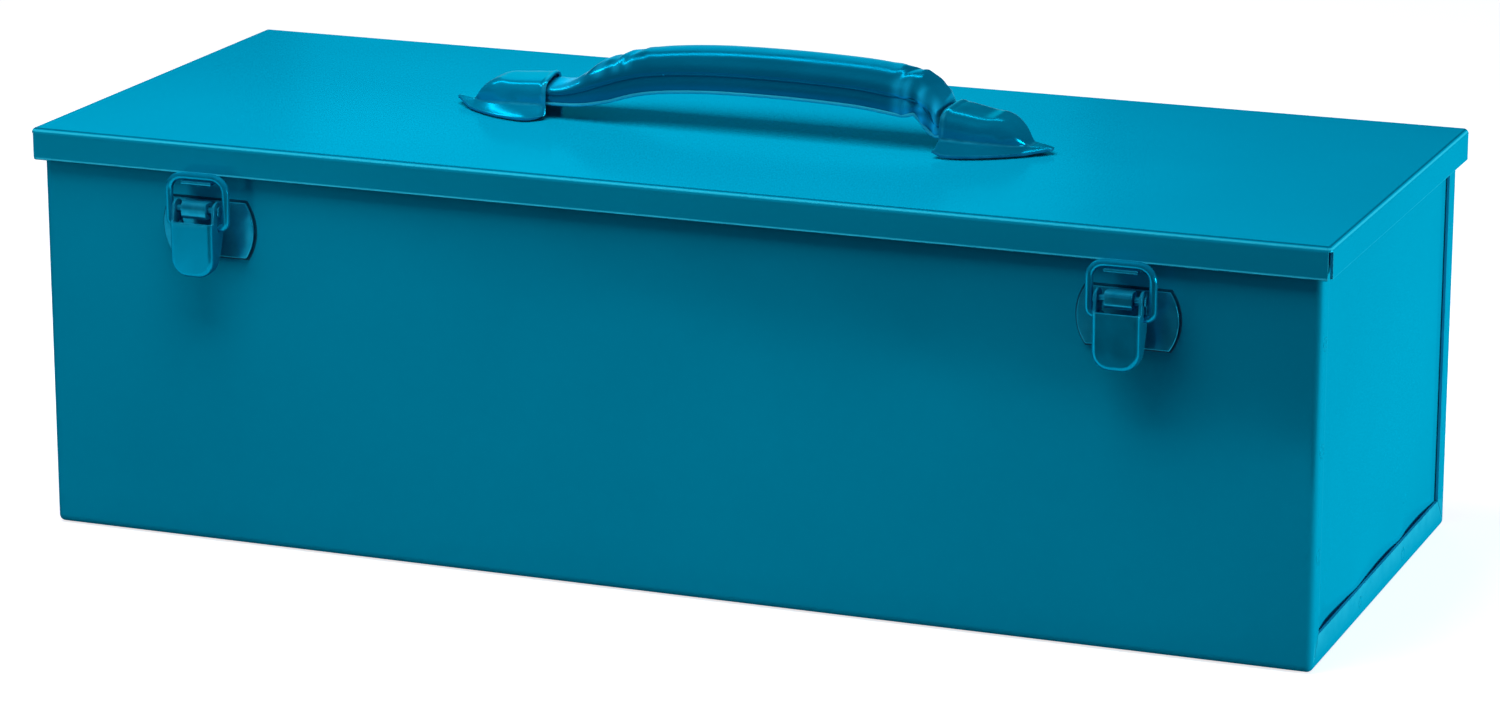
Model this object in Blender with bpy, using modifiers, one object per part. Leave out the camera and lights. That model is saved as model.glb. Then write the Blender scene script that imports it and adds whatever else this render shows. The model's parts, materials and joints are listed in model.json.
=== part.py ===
"""Steel tool case: bent trough, end panels, hinged lid pan, two toggle latches and a strap handle.

Metres, +Z up. The origin is the middle of the bottom face, the latches are on the -Y side and the
hinges on the +Y side.
"""
import math

import bmesh
import bpy
from mathutils import Matrix, Vector

MM = 0.001

# Case and lid
LID_LENGTH = 490 * MM
LID_DEPTH = 192 * MM
CASE_HEIGHT = 151 * MM
LID_FLANGE = 11.5 * MM
LID_BEND = 2.0 * MM
LID_CLEARANCE = 2.5 * MM
SHEET = 1.0 * MM
BODY_BEND = 2.5 * MM
FRONT_FLANGE = 7.5 * MM
BACK_FLANGE = 10.5 * MM
BOTTOM_FLANGE = 12 * MM
MITRE_SLIT = 0.4 * MM
HEM_HEIGHT = 8 * MM
HEM_DROP = 0.2 * MM
PANEL_GAP = 0.4 * MM
PANEL_CORNER = 3 * MM
NOTCH_ALONG = 1.2 * MM
NOTCH_ACROSS = 2.0 * MM

# Toggle latches
LATCH_INSET = 71 * MM
PIN_OUT = 9.8 * MM
PIN_DROP = 11.6 * MM
LATCH_PIN = 2.6 * MM
LATCH_HEAD = 3.8 * MM
HEAD_THICKNESS = 0.5 * MM
PLATE_WIDTH = 36.2 * MM
PLATE_HEIGHT = 20.6 * MM
PLATE_DROP = 8.6 * MM
LATCH_SHEET = 1.2 * MM
TONGUE_WIDTH = 10 * MM
LEVER_WIDTH = 17 * MM
LEVER_SHEET = 1.0 * MM
LEVER_EDGE = 1.8 * MM
LEVER_FACE = 5.8 * MM
LEVER_LENGTH = 24 * MM
LEVER_TOP = 3.9 * MM
LEVER_TIP = 6.4 * MM
TIP_DEPTH = 4 * MM
WALL_STRAIGHT = 10 * MM
EAR_RADIUS = 3.6 * MM
WIRE = 2.8 * MM
WIRE_END = 1.1 * MM
LOOP_CORNER = 5.5 * MM
LOOP_FOOT = 2.4 * MM
TOGGLE_DROP = 6.1 * MM
OVER_CENTRE = 0.7 * MM
BAR_RISE = 0.5 * MM
KEEPER_WIDTH = 12 * MM
KEEPER_BEND = 1.4 * MM

# Hinges
HINGE_INSET = 95 * MM
HINGE_WIDTH = 50 * MM
HINGE_SHEET = 1.2 * MM
HINGE_PIN = 2.6 * MM
HINGE_HEAD = 4.2 * MM
HINGE_DROP = 1.5 * MM
KNUCKLE = 18 * MM
LEAF_HEIGHT = 22 * MM
CRANK_DROP = 8 * MM
CRANK_BEND = 1.5 * MM

# Strap handle; a path point is its way along X and its rise above the lid
CAP_MOUTH_X = 78 * MM
CAP_LENGTH = 38.4 * MM
CAP_SHEET = 1.0 * MM
BRIM_WIDTH = 43.6 * MM
BRIM_MOUTH = 34 * MM
BRIM_TIP = 2 * MM
BRIM_PEAK = 9.5 * MM
BRIM_RISE = 5.2 * MM
DOME_WIDTH = 28.4 * MM
DOME_RISE = 13.6 * MM
DOME_FALL = 1.4 * MM
DOME_NOSE = 30.5 * MM
NOSE_START = 17 * MM
DOME_ROUNDING = 3
STRAP_WIDTH = 24 * MM
STRAP_SIDE = 4.5 * MM
STRAP_CROWN = 2.2 * MM
GRIP_WIDTH = 26.8 * MM
GRIP_SIDE = 7.4 * MM
GRIP_CROWN = 7.4 * MM
GRIP_LEFT = (-75 * MM, -50 * MM)
GRIP_RIGHT = (78 * MM, 63 * MM)
SIDE_ROUNDING = 6
CROWN_ROUNDING = 2.4
CORE_WIDTH = 16 * MM
CORE_SHEET = 1.6 * MM
COVER_REACH = 3.5 * MM
CAP_END = ((3.5 * MM, 8 * MM), (10 * MM, 5 * MM))
FOOT_REACH = (16.5 * MM, 27 * MM)
ARCH_LEFT = ((4 * MM, 8.1 * MM), (10 * MM, 9 * MM), (16 * MM, 10.9 * MM), (26 * MM, 15 * MM),
             (36.5 * MM, 18.3 * MM))
ARCH_MIDDLE = ((-30 * MM, 20.3 * MM), (-12 * MM, 21.7 * MM), (8 * MM, 22.1 * MM), (28 * MM, 21.9 * MM))
ARCH_RIGHT = ((1.5 * MM, 8.5 * MM), (3.5 * MM, 10.6 * MM), (5.5 * MM, 14 * MM), (8 * MM, 17 * MM),
              (12 * MM, 18.7 * MM), (20 * MM, 19.9 * MM), (32 * MM, 21.2 * MM))

# Left between pieces that touch
FIT_GAP = 0.3 * MM
# How far a cutter runs past what it cuts
OVERCUT = 2 * MM
BEND_STEPS = 4
ROUND_STEPS = 20

# Worked out from the sizes above
LID_OVERHANG = SHEET + LID_CLEARANCE
BODY_LENGTH = LID_LENGTH - 2 * LID_OVERHANG
BODY_DEPTH = LID_DEPTH - 2 * LID_OVERHANG
FRONT_Y = -BODY_DEPTH / 2
BACK_Y = BODY_DEPTH / 2
RIM_Z = CASE_HEIGHT - SHEET - FIT_GAP
FLANGE_EDGE_Z = CASE_HEIGHT - LID_FLANGE
LATCH_X = LID_LENGTH / 2 - LATCH_INSET
PIN_Y = FRONT_Y - PIN_OUT
PIN_Z = FLANGE_EDGE_Z - PIN_DROP
TOGGLE_Y = PIN_Y + OVER_CENTRE
TOGGLE_Z = PIN_Z - TOGGLE_DROP
BAR_Z = FLANGE_EDGE_Z + BAR_RISE
HINGE_X = LID_LENGTH / 2 - HINGE_INSET
HINGE_BARREL = HINGE_PIN / 2 + FIT_GAP + HINGE_SHEET / 2
LEAF_Y = LID_DEPTH / 2 + FIT_GAP + HINGE_SHEET / 2
HINGE_Y = LEAF_Y + HINGE_BARREL
HINGE_Z = FLANGE_EDGE_Z - HINGE_DROP

# Planes that flat outlines are drawn in: seen from the side (y, z) and from the front (x, z)
SIDE_PLANE = Matrix(((0, 0, 1, 0), (1, 0, 0, 0), (0, 1, 0, 0), (0, 0, 0, 1)))
FRONT_PLANE = Matrix(((1, 0, 0, 0), (0, 0, -1, 0), (0, 1, 0, 0), (0, 0, 0, 1)))

PAINT_COLOUR = (0.0, 0.26, 0.42, 1)
VINYL_COLOUR = (0.0, 0.2, 0.33, 1)
STEEL_COLOUR = (0.5, 0.5, 0.5, 1)


def empty_scene():
    for item in list(bpy.data.objects):
        bpy.data.objects.remove(item, do_unlink=True)


def new_collection(name):
    collection = bpy.data.collections.new(name)
    bpy.context.scene.collection.children.link(collection)
    return collection


def new_material(name, colour, roughness, metallic):
    material = bpy.data.materials.new(name)
    material.use_nodes = True
    shader = material.node_tree.nodes["Principled BSDF"]
    shader.inputs["Base Color"].default_value = colour
    shader.inputs["Roughness"].default_value = roughness
    shader.inputs["Metallic"].default_value = metallic
    material.diffuse_color = colour
    return material


empty_scene()
PARTS = new_collection("tool_case")
CUTTERS = new_collection("cutters")
PAINT = new_material("gloss_paint", PAINT_COLOUR, 0.25, 0.0)
VINYL = new_material("gloss_vinyl", VINYL_COLOUR, 0.2, 0.0)
STEEL = new_material("bare_steel", STEEL_COLOUR, 0.4, 1.0)


def shift(x, y, z):
    return Matrix.Translation((x, y, z))


def add_piece(name, mesh, material):
    mesh.materials.append(material)
    piece = bpy.data.objects.new(name, mesh)
    PARTS.objects.link(piece)
    return piece


def add_tool(name, mesh):
    """A shape that only cuts, trims or joins another one."""
    tool = bpy.data.objects.new(name, mesh)
    tool.hide_render = True
    tool.display_type = 'WIRE'
    CUTTERS.objects.link(tool)
    return tool


def combine(piece, tool, operation='DIFFERENCE'):
    modifier = piece.modifiers.new(tool.name, 'BOOLEAN')
    modifier.operation = operation
    modifier.object = tool


def set_origin(piece, origin):
    """Puts the piece's origin there, with its shape where it was."""
    piece.data.transform(Matrix.Translation(-Vector(origin)))
    piece.location = origin


def shade_round(mesh):
    mesh.shade_smooth()
    mesh.set_sharp_from_angle(angle=math.radians(35))


def bmesh_to_mesh(name, form):
    bmesh.ops.recalc_face_normals(form, faces=form.faces)
    mesh = bpy.data.meshes.new(name)
    form.to_mesh(mesh)
    form.free()
    return mesh


def add_block(form, low, high):
    """A box between two corners, given in any order."""
    size = [abs(b - a) for a, b in zip(low, high)]
    middle = [(a + b) / 2 for a, b in zip(low, high)]
    place = Matrix.Translation(middle) @ Matrix.Diagonal((*size, 1))
    return bmesh.ops.create_cube(form, size=1, matrix=place)["verts"]


def add_rod(form, radius, length, y, z):
    """A cylinder along X through the point (y, z), centred on X = 0."""
    place = shift(0, y, z) @ Matrix.Rotation(math.pi / 2, 4, 'Y')
    bmesh.ops.create_cone(form, cap_ends=True, segments=ROUND_STEPS, radius1=radius, radius2=radius,
                          depth=length, matrix=place)


def arc(centre, radius, start, end, steps=ROUND_STEPS):
    """Points on an arc, with its angles in degrees."""
    points = []
    for step in range(steps + 1):
        angle = math.radians(start + (end - start) * step / steps)
        points.append((centre[0] + radius * math.cos(angle), centre[1] + radius * math.sin(angle)))
    return points


def rounded(corners, closed=True, steps=BEND_STEPS):
    """An outline through corners (a, b, radius), each rounded with its own radius."""
    points = []
    count = len(corners)
    for index, (a, b, radius) in enumerate(corners):
        at_end = not closed and index in (0, count - 1)
        if radius == 0 or at_end:
            points.append((a, b))
            continue
        here = Vector((a, b))
        back = (Vector(corners[index - 1][:2]) - here).normalized()
        ahead = (Vector(corners[(index + 1) % count][:2]) - here).normalized()
        half = back.angle(ahead) / 2
        centre = here + (back + ahead).normalized() * radius / math.sin(half)
        first = here + back * radius / math.tan(half) - centre
        last = here + ahead * radius / math.tan(half) - centre
        start = math.atan2(first.y, first.x)
        turn = math.remainder(math.atan2(last.y, last.x) - start, math.tau)
        points += arc(centre, radius, math.degrees(start), math.degrees(start + turn), steps)
    return points


def curve_to_mesh(name, curve, place):
    """The curve as a closed mesh at its place, with its caps welded on."""
    guide = bpy.data.objects.new(name, curve)
    bpy.context.scene.collection.objects.link(guide)
    evaluated = guide.evaluated_get(bpy.context.evaluated_depsgraph_get())
    mesh = bpy.data.meshes.new_from_object(evaluated)
    bpy.data.objects.remove(guide)
    form = bmesh.new()
    form.from_mesh(mesh)
    bpy.data.meshes.remove(mesh)
    bmesh.ops.remove_doubles(form, verts=form.verts, dist=0.01 * MM)
    bmesh.ops.transform(form, matrix=place, verts=form.verts)
    return bmesh_to_mesh(name, form)


def plate_mesh(name, outline, thickness, place):
    """A flat plate with this outline, half its thickness on each side of the plane."""
    curve = bpy.data.curves.new(name, 'CURVE')
    curve.dimensions = '2D'
    curve.fill_mode = 'BOTH'
    curve.extrude = thickness / 2
    spline = curve.splines.new('POLY')
    spline.points.add(len(outline) - 1)
    for point, (a, b) in zip(spline.points, outline):
        point.co = (a, b, 0, 1)
    spline.use_cyclic_u = True
    return curve_to_mesh(name, curve, place)


def strip_mesh(name, path, width, place):
    """An open ribbon along a path in the plane, as wide as given across it."""
    form = bmesh.new()
    rows = []
    for a, b in path:
        rows.append([form.verts.new((a, b, side * width / 2)) for side in (-1, 1)])
    for row, following in zip(rows, rows[1:]):
        form.faces.new((row[0], row[1], following[1], following[0]))
    bmesh.ops.transform(form, matrix=place, verts=form.verts)
    return bmesh_to_mesh(name, form)


def thicken(piece, thickness, offset):
    modifier = piece.modifiers.new("sheet", 'SOLIDIFY')
    modifier.thickness = thickness
    modifier.offset = offset
    modifier.use_even_offset = True


def fold_edges(piece, radius):
    """Rounds the square bends of a folded sheet before it gets its thickness."""
    modifier = piece.modifiers.new("bends", 'BEVEL')
    modifier.width = radius
    modifier.segments = BEND_STEPS
    modifier.limit_method = 'ANGLE'
    modifier.angle_limit = math.radians(60)


def turned_mesh(name, profile, place):
    """A pin turned about X from (along, radius) points, drawn as a Screw of its half section."""
    form = bmesh.new()
    line = [form.verts.new((radius, 0, along)) for along, radius in profile]
    for start, end in zip(line, line[1:]):
        form.edges.new((start, end))
    half = bpy.data.meshes.new(name)
    form.to_mesh(half)
    form.free()
    guide = bpy.data.objects.new(name, half)
    bpy.context.scene.collection.objects.link(guide)
    screw = guide.modifiers.new("turn", 'SCREW')
    screw.steps = ROUND_STEPS
    screw.render_steps = ROUND_STEPS
    screw.use_merge_vertices = True
    screw.merge_threshold = 0.01 * MM
    evaluated = guide.evaluated_get(bpy.context.evaluated_depsgraph_get())
    mesh = bpy.data.meshes.new_from_object(evaluated)
    bpy.data.objects.remove(guide)
    form = bmesh.new()
    form.from_mesh(mesh)
    bpy.data.meshes.remove(mesh)
    bmesh.ops.remove_doubles(form, verts=form.verts, dist=0.01 * MM)
    bmesh.ops.transform(form, matrix=place @ Matrix.Rotation(math.pi / 2, 4, 'Y'), verts=form.verts)
    return bmesh_to_mesh(name, form)


def headed_pin(name, diameter, length, head, head_thickness, place):
    """A pin along X with a flat head on each end."""
    end = length / 2
    tip = end + head_thickness
    profile = [(tip, 0), (tip, head / 2), (end, head / 2), (end, diameter / 2)]
    profile += [(-along, radius) for along, radius in reversed(profile)]
    mesh = turned_mesh(name, profile, place)
    shade_round(mesh)
    return add_piece(name, mesh, PAINT)


def body_trough():
    """Front, bottom and back from one sheet, with flanges turned round the open ends."""
    form = bmesh.new()
    add_block(form, (-BODY_LENGTH / 2, FRONT_Y, 0), (BODY_LENGTH / 2, BACK_Y, RIM_Z))
    front_line = FRONT_Y + FRONT_FLANGE
    back_line = BACK_Y - BACK_FLANGE
    cuts = [((0, front_line, 0), (0, 1, 0)), ((0, back_line, 0), (0, 1, 0)),
            ((0, 0, BOTTOM_FLANGE), (0, 0, 1))]
    for point, normal in cuts:
        everything = form.verts[:] + form.edges[:] + form.faces[:]
        bmesh.ops.bisect_plane(form, geom=everything, plane_co=point, plane_no=normal)
    form.normal_update()
    openings = []
    for face in form.faces:
        middle = face.calc_center_median()
        in_end = abs(face.normal.x) > 0.5 and front_line < middle.y < back_line
        if face.normal.z > 0.5 or (in_end and middle.z > BOTTOM_FLANGE):
            openings.append(face)
    bmesh.ops.delete(form, geom=openings, context='FACES')
    trough = add_piece("body_trough", bmesh_to_mesh("body_trough", form), PAINT)
    fold_edges(trough, BODY_BEND)
    thicken(trough, SHEET, -1)
    combine(trough, rim_hems(), 'UNION')
    for name, edge, side, flange in (("front_mitres", FRONT_Y, 1, FRONT_FLANGE),
                                     ("back_mitres", BACK_Y, -1, BACK_FLANGE)):
        combine(trough, mitre_cutter(name, edge, side, flange))
    return trough


def rim_hems():
    """The folded-in top edges of the trough's front and back, clear of the end panels."""
    form = bmesh.new()
    end = BODY_LENGTH / 2 - BODY_BEND - 4 * SHEET
    for edge, side in ((FRONT_Y, 1), (BACK_Y, -1)):
        low = (-end, edge + side * SHEET / 2, RIM_Z - HEM_HEIGHT)
        high = (end, edge + side * 2 * SHEET, RIM_Z - HEM_DROP)
        add_block(form, low, high)
    return add_tool("rim_hems", bmesh_to_mesh("rim_hems", form))


def mitre_cutter(name, edge, side, flange):
    """A thin slit from a flange's inner corner towards the case's lower corner, at both ends."""
    inner = Vector((edge + side * flange, BOTTOM_FLANGE))
    corner = Vector((edge, 0))
    along = (corner - inner).normalized()
    across = Vector((-along.y, along.x)) * MITRE_SLIT / 2
    start = inner - along * OVERCUT
    end = corner - along * 2 * BODY_BEND
    outline = [start + across, end + across, end - across, start - across]
    length = BODY_LENGTH + 2 * OVERCUT
    return add_tool(name, plate_mesh(name, [tuple(point) for point in outline], length, SIDE_PLANE))


def end_panel(name, side):
    """A flat sheet behind the trough's end flanges, with a folded-in rim."""
    half = BODY_DEPTH / 2 - BODY_BEND
    outline = rounded([(-half, BODY_BEND, PANEL_CORNER), (half, BODY_BEND, PANEL_CORNER),
                       (half, RIM_Z, 0), (-half, RIM_Z, 0)])
    x = BODY_LENGTH / 2 - SHEET - PANEL_GAP - SHEET / 2
    mesh = plate_mesh(name, outline, SHEET, shift(side * x, 0, 0) @ SIDE_PLANE)
    panel = add_piece(name, mesh, PAINT)
    form = bmesh.new()
    hem_end = half - 2 * SHEET
    add_block(form, (side * x, -hem_end, RIM_Z - HEM_HEIGHT),
              (side * (x - 1.5 * SHEET), hem_end, RIM_Z - HEM_DROP))
    hem_name = name + "_hem"
    combine(panel, add_tool(hem_name, bmesh_to_mesh(hem_name, form)), 'UNION')
    return panel


def lid_pan():
    """The lid's tray, its four flanges open at the corners."""
    form = bmesh.new()
    half_length = LID_LENGTH / 2
    half_depth = LID_DEPTH / 2
    add_block(form, (-half_length, -half_depth, FLANGE_EDGE_Z), (half_length, half_depth, CASE_HEIGHT))
    form.normal_update()
    below = [face for face in form.faces if face.normal.z < -0.5]
    bmesh.ops.delete(form, geom=below, context='FACES')
    pan = add_piece("lid_pan", bmesh_to_mesh("lid_pan", form), PAINT)
    fold_edges(pan, LID_BEND)
    thicken(pan, SHEET, -1)
    form = bmesh.new()
    top = CASE_HEIGHT - LID_BEND
    for x in (-1, 1):
        for y in (-1, 1):
            add_block(form, (x * (half_length - NOTCH_ALONG), y * (half_depth - NOTCH_ACROSS), top),
                      (x * (half_length + OVERCUT), y * (half_depth + OVERCUT), FLANGE_EDGE_Z - OVERCUT))
    combine(pan, add_tool("corner_notches", bmesh_to_mesh("corner_notches", form)))
    return pan


def latch_base(name, x):
    """A disc cut flat above and below, with a tongue that comes out and rolls round the pin."""
    middle_z = PIN_Z - PLATE_DROP
    radius = PLATE_WIDTH / 2
    reach = math.degrees(math.asin(PLATE_HEIGHT / PLATE_WIDTH))
    outline = arc((0, 0), radius, -reach, reach) + arc((0, 0), radius, 180 - reach, 180 + reach)
    plate_y = FRONT_Y - FIT_GAP - LATCH_SHEET / 2
    mesh = plate_mesh(name, outline, LATCH_SHEET, shift(x, plate_y, middle_z) @ FRONT_PLANE)
    base = add_piece(name, mesh, PAINT)
    barrel = LATCH_PIN / 2 + FIT_GAP + LATCH_SHEET / 2
    path = [(plate_y, PIN_Z - barrel)] + arc((PIN_Y, PIN_Z), barrel, 270, 0)
    tongue_name = name + "_tongue"
    tongue_mesh = strip_mesh(tongue_name, path, TONGUE_WIDTH, shift(x, 0, 0) @ SIDE_PLANE)
    tongue = add_tool(tongue_name, tongue_mesh)
    thicken(tongue, LATCH_SHEET, 0)
    combine(base, tongue, 'UNION')
    return base


def latch_pin(name, x):
    length = LEVER_WIDTH + 2 * FIT_GAP
    return headed_pin(name, LATCH_PIN, length, LATCH_HEAD, HEAD_THICKNESS, shift(x, PIN_Y, PIN_Z))


def lever_block(name, inset, run_out, place):
    """The lever's front outline drawn in by an inset, as a block with its front edge rounded round the tip."""
    half = LEVER_WIDTH / 2 - inset
    tip = inset - LEVER_LENGTH
    front = inset - LEVER_FACE
    beyond = EAR_RADIUS + run_out
    outline = rounded([(-half, beyond, 0), (-half, tip, LEVER_TIP - inset), (half, tip, LEVER_TIP - inset),
                       (half, beyond, 0)])
    block = plate_mesh(name, outline, beyond - front, shift(0, (front + beyond) / 2, 0) @ FRONT_PLANE)
    form = bmesh.new()
    form.from_mesh(block)
    bpy.data.meshes.remove(block)
    bmesh.ops.dissolve_limit(form, angle_limit=math.radians(1), verts=form.verts, edges=form.edges)
    form.normal_update()
    face = min(form.faces, key=lambda face: face.calc_center_median().y)
    bend = [edge for edge in face.edges if min(vert.co.z for vert in edge.verts) < EAR_RADIUS]
    bmesh.ops.bevel(form, geom=bend, offset=LEVER_EDGE - inset, offset_type='OFFSET', segments=BEND_STEPS,
                    profile=0.5, affect='EDGES')
    bmesh.ops.transform(form, matrix=place, verts=form.verts)
    return bmesh_to_mesh(name, form)


def latch_lever(name, x):
    """A pan whose edge turns back all round its tip, trimmed to its side outline, with a window and holes."""
    place = shift(x, PIN_Y, PIN_Z)
    lever = add_piece(name, lever_block(name, 0, OVERCUT, place), PAINT)
    hollow_name = name + "_hollow"
    combine(lever, add_tool(hollow_name, lever_block(hollow_name, LEVER_SHEET, 2 * OVERCUT, place)))
    width = LEVER_WIDTH + 2 * OVERCUT
    front = -LEVER_FACE - OVERCUT
    tip_y = TIP_DEPTH - LEVER_FACE
    below = -LEVER_LENGTH - OVERCUT
    side = arc((0, 0), EAR_RADIUS, 0, 150)
    side += [(front, -LEVER_TOP), (front, below), (tip_y, below), (tip_y, -LEVER_LENGTH),
             (EAR_RADIUS, -WALL_STRAIGHT)]
    side_name = name + "_side_outline"
    side_tool = add_tool(side_name, plate_mesh(side_name, side, width, place @ SIDE_PLANE))
    combine(lever, side_tool, 'INTERSECT')
    form = bmesh.new()
    window = LEVER_WIDTH / 2 - 1.6 * LEVER_SHEET
    add_block(form, (-window, front, -LEVER_TOP), (window, -LEVER_FACE / 2, EAR_RADIUS + OVERCUT))
    add_rod(form, LATCH_PIN / 2 + FIT_GAP, width, 0, 0)
    add_rod(form, WIRE / 2 + FIT_GAP, width, OVER_CENTRE, -TOGGLE_DROP)
    bmesh.ops.transform(form, matrix=place, verts=form.verts)
    holes_name = name + "_holes"
    combine(lever, add_tool(holes_name, bmesh_to_mesh(holes_name, form)))
    set_origin(lever, (x, PIN_Y, PIN_Z))
    return lever


def latch_loop(name, x):
    """Round wire: in through the lever's walls, up beside it and across above the keeper."""
    half = LEVER_WIDTH / 2 + 3 * FIT_GAP + HEAD_THICKNESS + WIRE / 2
    end = LEVER_WIDTH / 2 - LEVER_SHEET - WIRE_END
    rise = BAR_Z - TOGGLE_Z
    path = rounded([(-end, 0, 0), (-half, 0, LOOP_FOOT), (-half, rise, LOOP_CORNER),
                    (half, rise, LOOP_CORNER), (half, 0, LOOP_FOOT), (end, 0, 0)], closed=False)
    curve = bpy.data.curves.new(name, 'CURVE')
    curve.dimensions = '3D'
    curve.bevel_depth = WIRE / 2
    curve.bevel_resolution = 3
    curve.use_fill_caps = True
    spline = curve.splines.new('POLY')
    spline.points.add(len(path) - 1)
    for point, (along, up) in zip(spline.points, path):
        point.co = (along, 0, up, 1)
    mesh = curve_to_mesh(name, curve, shift(x, TOGGLE_Y, TOGGLE_Z))
    shade_round(mesh)
    loop = add_piece(name, mesh, PAINT)
    set_origin(loop, (x, TOGGLE_Y, TOGGLE_Z))
    return loop


def keeper(name, x):
    """A strip welded inside the lid's flange, its shelf turned out under the wire loop's bar."""
    tab_y = FRONT_Y - LID_CLEARANCE + FIT_GAP + LATCH_SHEET / 2
    shelf_z = BAR_Z - WIRE / 2 - FIT_GAP - LATCH_SHEET / 2
    top_z = CASE_HEIGHT - 2 * LID_BEND
    path = rounded([(tab_y, top_z, 0), (tab_y, shelf_z, KEEPER_BEND), (TOGGLE_Y - WIRE / 2, shelf_z, 0)],
                   closed=False)
    strip = add_piece(name, strip_mesh(name, path, KEEPER_WIDTH, shift(x, 0, 0) @ SIDE_PLANE), PAINT)
    thicken(strip, LATCH_SHEET, 0)
    return strip


def hinge_leaf(name, path, x, cut_ranges, cut_low, cut_high):
    """A strip with a rolled barrel, cut away where the other leaf's barrel sits."""
    leaf = add_piece(name, strip_mesh(name, path, HINGE_WIDTH, shift(x, 0, 0) @ SIDE_PLANE), PAINT)
    thicken(leaf, HINGE_SHEET, 0)
    form = bmesh.new()
    reach = HINGE_BARREL + HINGE_SHEET + OVERCUT
    for start, end in cut_ranges:
        add_block(form, (x + start, HINGE_Y - reach, HINGE_Z + cut_low),
                  (x + end, HINGE_Y + reach, HINGE_Z + cut_high))
    cutter_name = name + "_gaps"
    combine(leaf, add_tool(cutter_name, bmesh_to_mesh(cutter_name, form)))
    return leaf


def hinge(prefix, x):
    """A butt hinge: a cranked leaf on the body, a straight one on the lid's flange, and the pin."""
    around = HINGE_BARREL + HINGE_SHEET / 2 + FIT_GAP
    past = HINGE_BARREL + HINGE_SHEET / 2 + OVERCUT
    axis = (HINGE_Y, HINGE_Z)
    body_y = BACK_Y + FIT_GAP + HINGE_SHEET / 2
    crank = LEAF_Y - body_y
    body_path = rounded([(body_y, HINGE_Z - LEAF_HEIGHT, 0), (body_y, HINGE_Z - CRANK_DROP, CRANK_BEND),
                         (LEAF_Y, HINGE_Z - CRANK_DROP + crank, CRANK_BEND), (LEAF_Y, HINGE_Z, 0)],
                        closed=False)
    body_path = body_path[:-1] + arc(axis, HINGE_BARREL, 180, -80)
    middle = KNUCKLE / 2 + FIT_GAP
    hinge_leaf(prefix + "_hinge_body_leaf", body_path, x, [(-middle, middle)], -around, past)
    lid_path = [(LEAF_Y, CASE_HEIGHT - 1.5 * LID_BEND)] + arc(axis, HINGE_BARREL, 180, 440)
    outer = HINGE_WIDTH / 2 + OVERCUT
    side_cuts = [(-outer, -KNUCKLE / 2), (KNUCKLE / 2, outer)]
    lid_leaf = hinge_leaf(prefix + "_hinge_lid_leaf", lid_path, x, side_cuts, -past, around)
    length = HINGE_WIDTH + 2 * FIT_GAP
    headed_pin(prefix + "_hinge_pin", HINGE_PIN, length, HINGE_HEAD, HEAD_THICKNESS,
               shift(x, HINGE_Y, HINGE_Z))
    return lid_leaf


def blend(value):
    """A smooth step from 0 to 1."""
    held = min(max(value, 0), 1)
    return held * held * (3 - 2 * held)


def cap_section(along):
    """The cap's sizes at a distance from its mouth: brim and dome half widths, and their rises."""
    if along < BRIM_PEAK:
        brim = BRIM_WIDTH - (BRIM_WIDTH - BRIM_MOUTH) * (1 - along / BRIM_PEAK) ** 2
    else:
        narrowing = ((along - BRIM_PEAK) / (CAP_LENGTH - BRIM_PEAK)) ** 1.7
        brim = BRIM_WIDTH - (BRIM_WIDTH - BRIM_TIP) * narrowing
    share = min(max((along - BRIM_PEAK) / (DOME_NOSE - BRIM_PEAK), 0), 1)
    dome = max(DOME_WIDTH * math.sqrt(1 - share * share), 0.45 * brim)
    edge = FIT_GAP + 1.15 * CAP_SHEET
    brim_rise = edge + (BRIM_RISE - edge) * (1 - (along / CAP_LENGTH) ** 2)
    crest = DOME_RISE - DOME_FALL * min(along / NOSE_START, 1)
    fall = min(max((along - NOSE_START) / (DOME_NOSE - NOSE_START), 0), 1)
    dome_rise = brim_rise + (crest - brim_rise) * (1 - fall ** 2.2)
    return brim / 2, dome / 2, edge, brim_rise, dome_rise


def cap_ring(along):
    """Points across the cap from the brim's edge, up over the dome and down to the other edge."""
    brim, dome, edge, brim_rise, dome_rise = cap_section(along)
    half = []
    for step in range(3):
        share = step / 3
        half.append((brim + (dome - brim) * share, edge + (brim_rise - edge) * share ** 1.3))
    for step in range(7):
        angle = math.pi / 2 * step / 6
        across = abs(math.cos(angle)) ** (2 / DOME_ROUNDING)
        above = math.sin(angle) ** (2 / DOME_ROUNDING)
        half.append((dome * across, brim_rise + (dome_rise - brim_rise) * above))
    return [(-y, rise) for y, rise in half] + [(y, rise) for y, rise in reversed(half[:-1])]


def handle_cap(name, side):
    """A pressed dome over the strap's end, with a leaf-shaped brim that runs out to a point."""
    form = bmesh.new()
    rows = []
    steps = 14
    for step in range(steps + 1):
        along = CAP_LENGTH * step / steps
        x = side * (CAP_MOUTH_X + along)
        rows.append([form.verts.new((x, y, CASE_HEIGHT + rise)) for y, rise in cap_ring(along)])
    for row, following in zip(rows, rows[1:]):
        for index in range(len(row) - 1):
            form.faces.new((row[index], following[index], following[index + 1], row[index + 1]))
    mesh = bmesh_to_mesh(name, form)
    if mesh.polygons[len(mesh.polygons) // 2].normal.z < 0:
        mesh.flip_normals()
    shade_round(mesh)
    cap = add_piece(name, mesh, PAINT)
    thicken(cap, CAP_SHEET, -1)
    return cap


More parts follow.
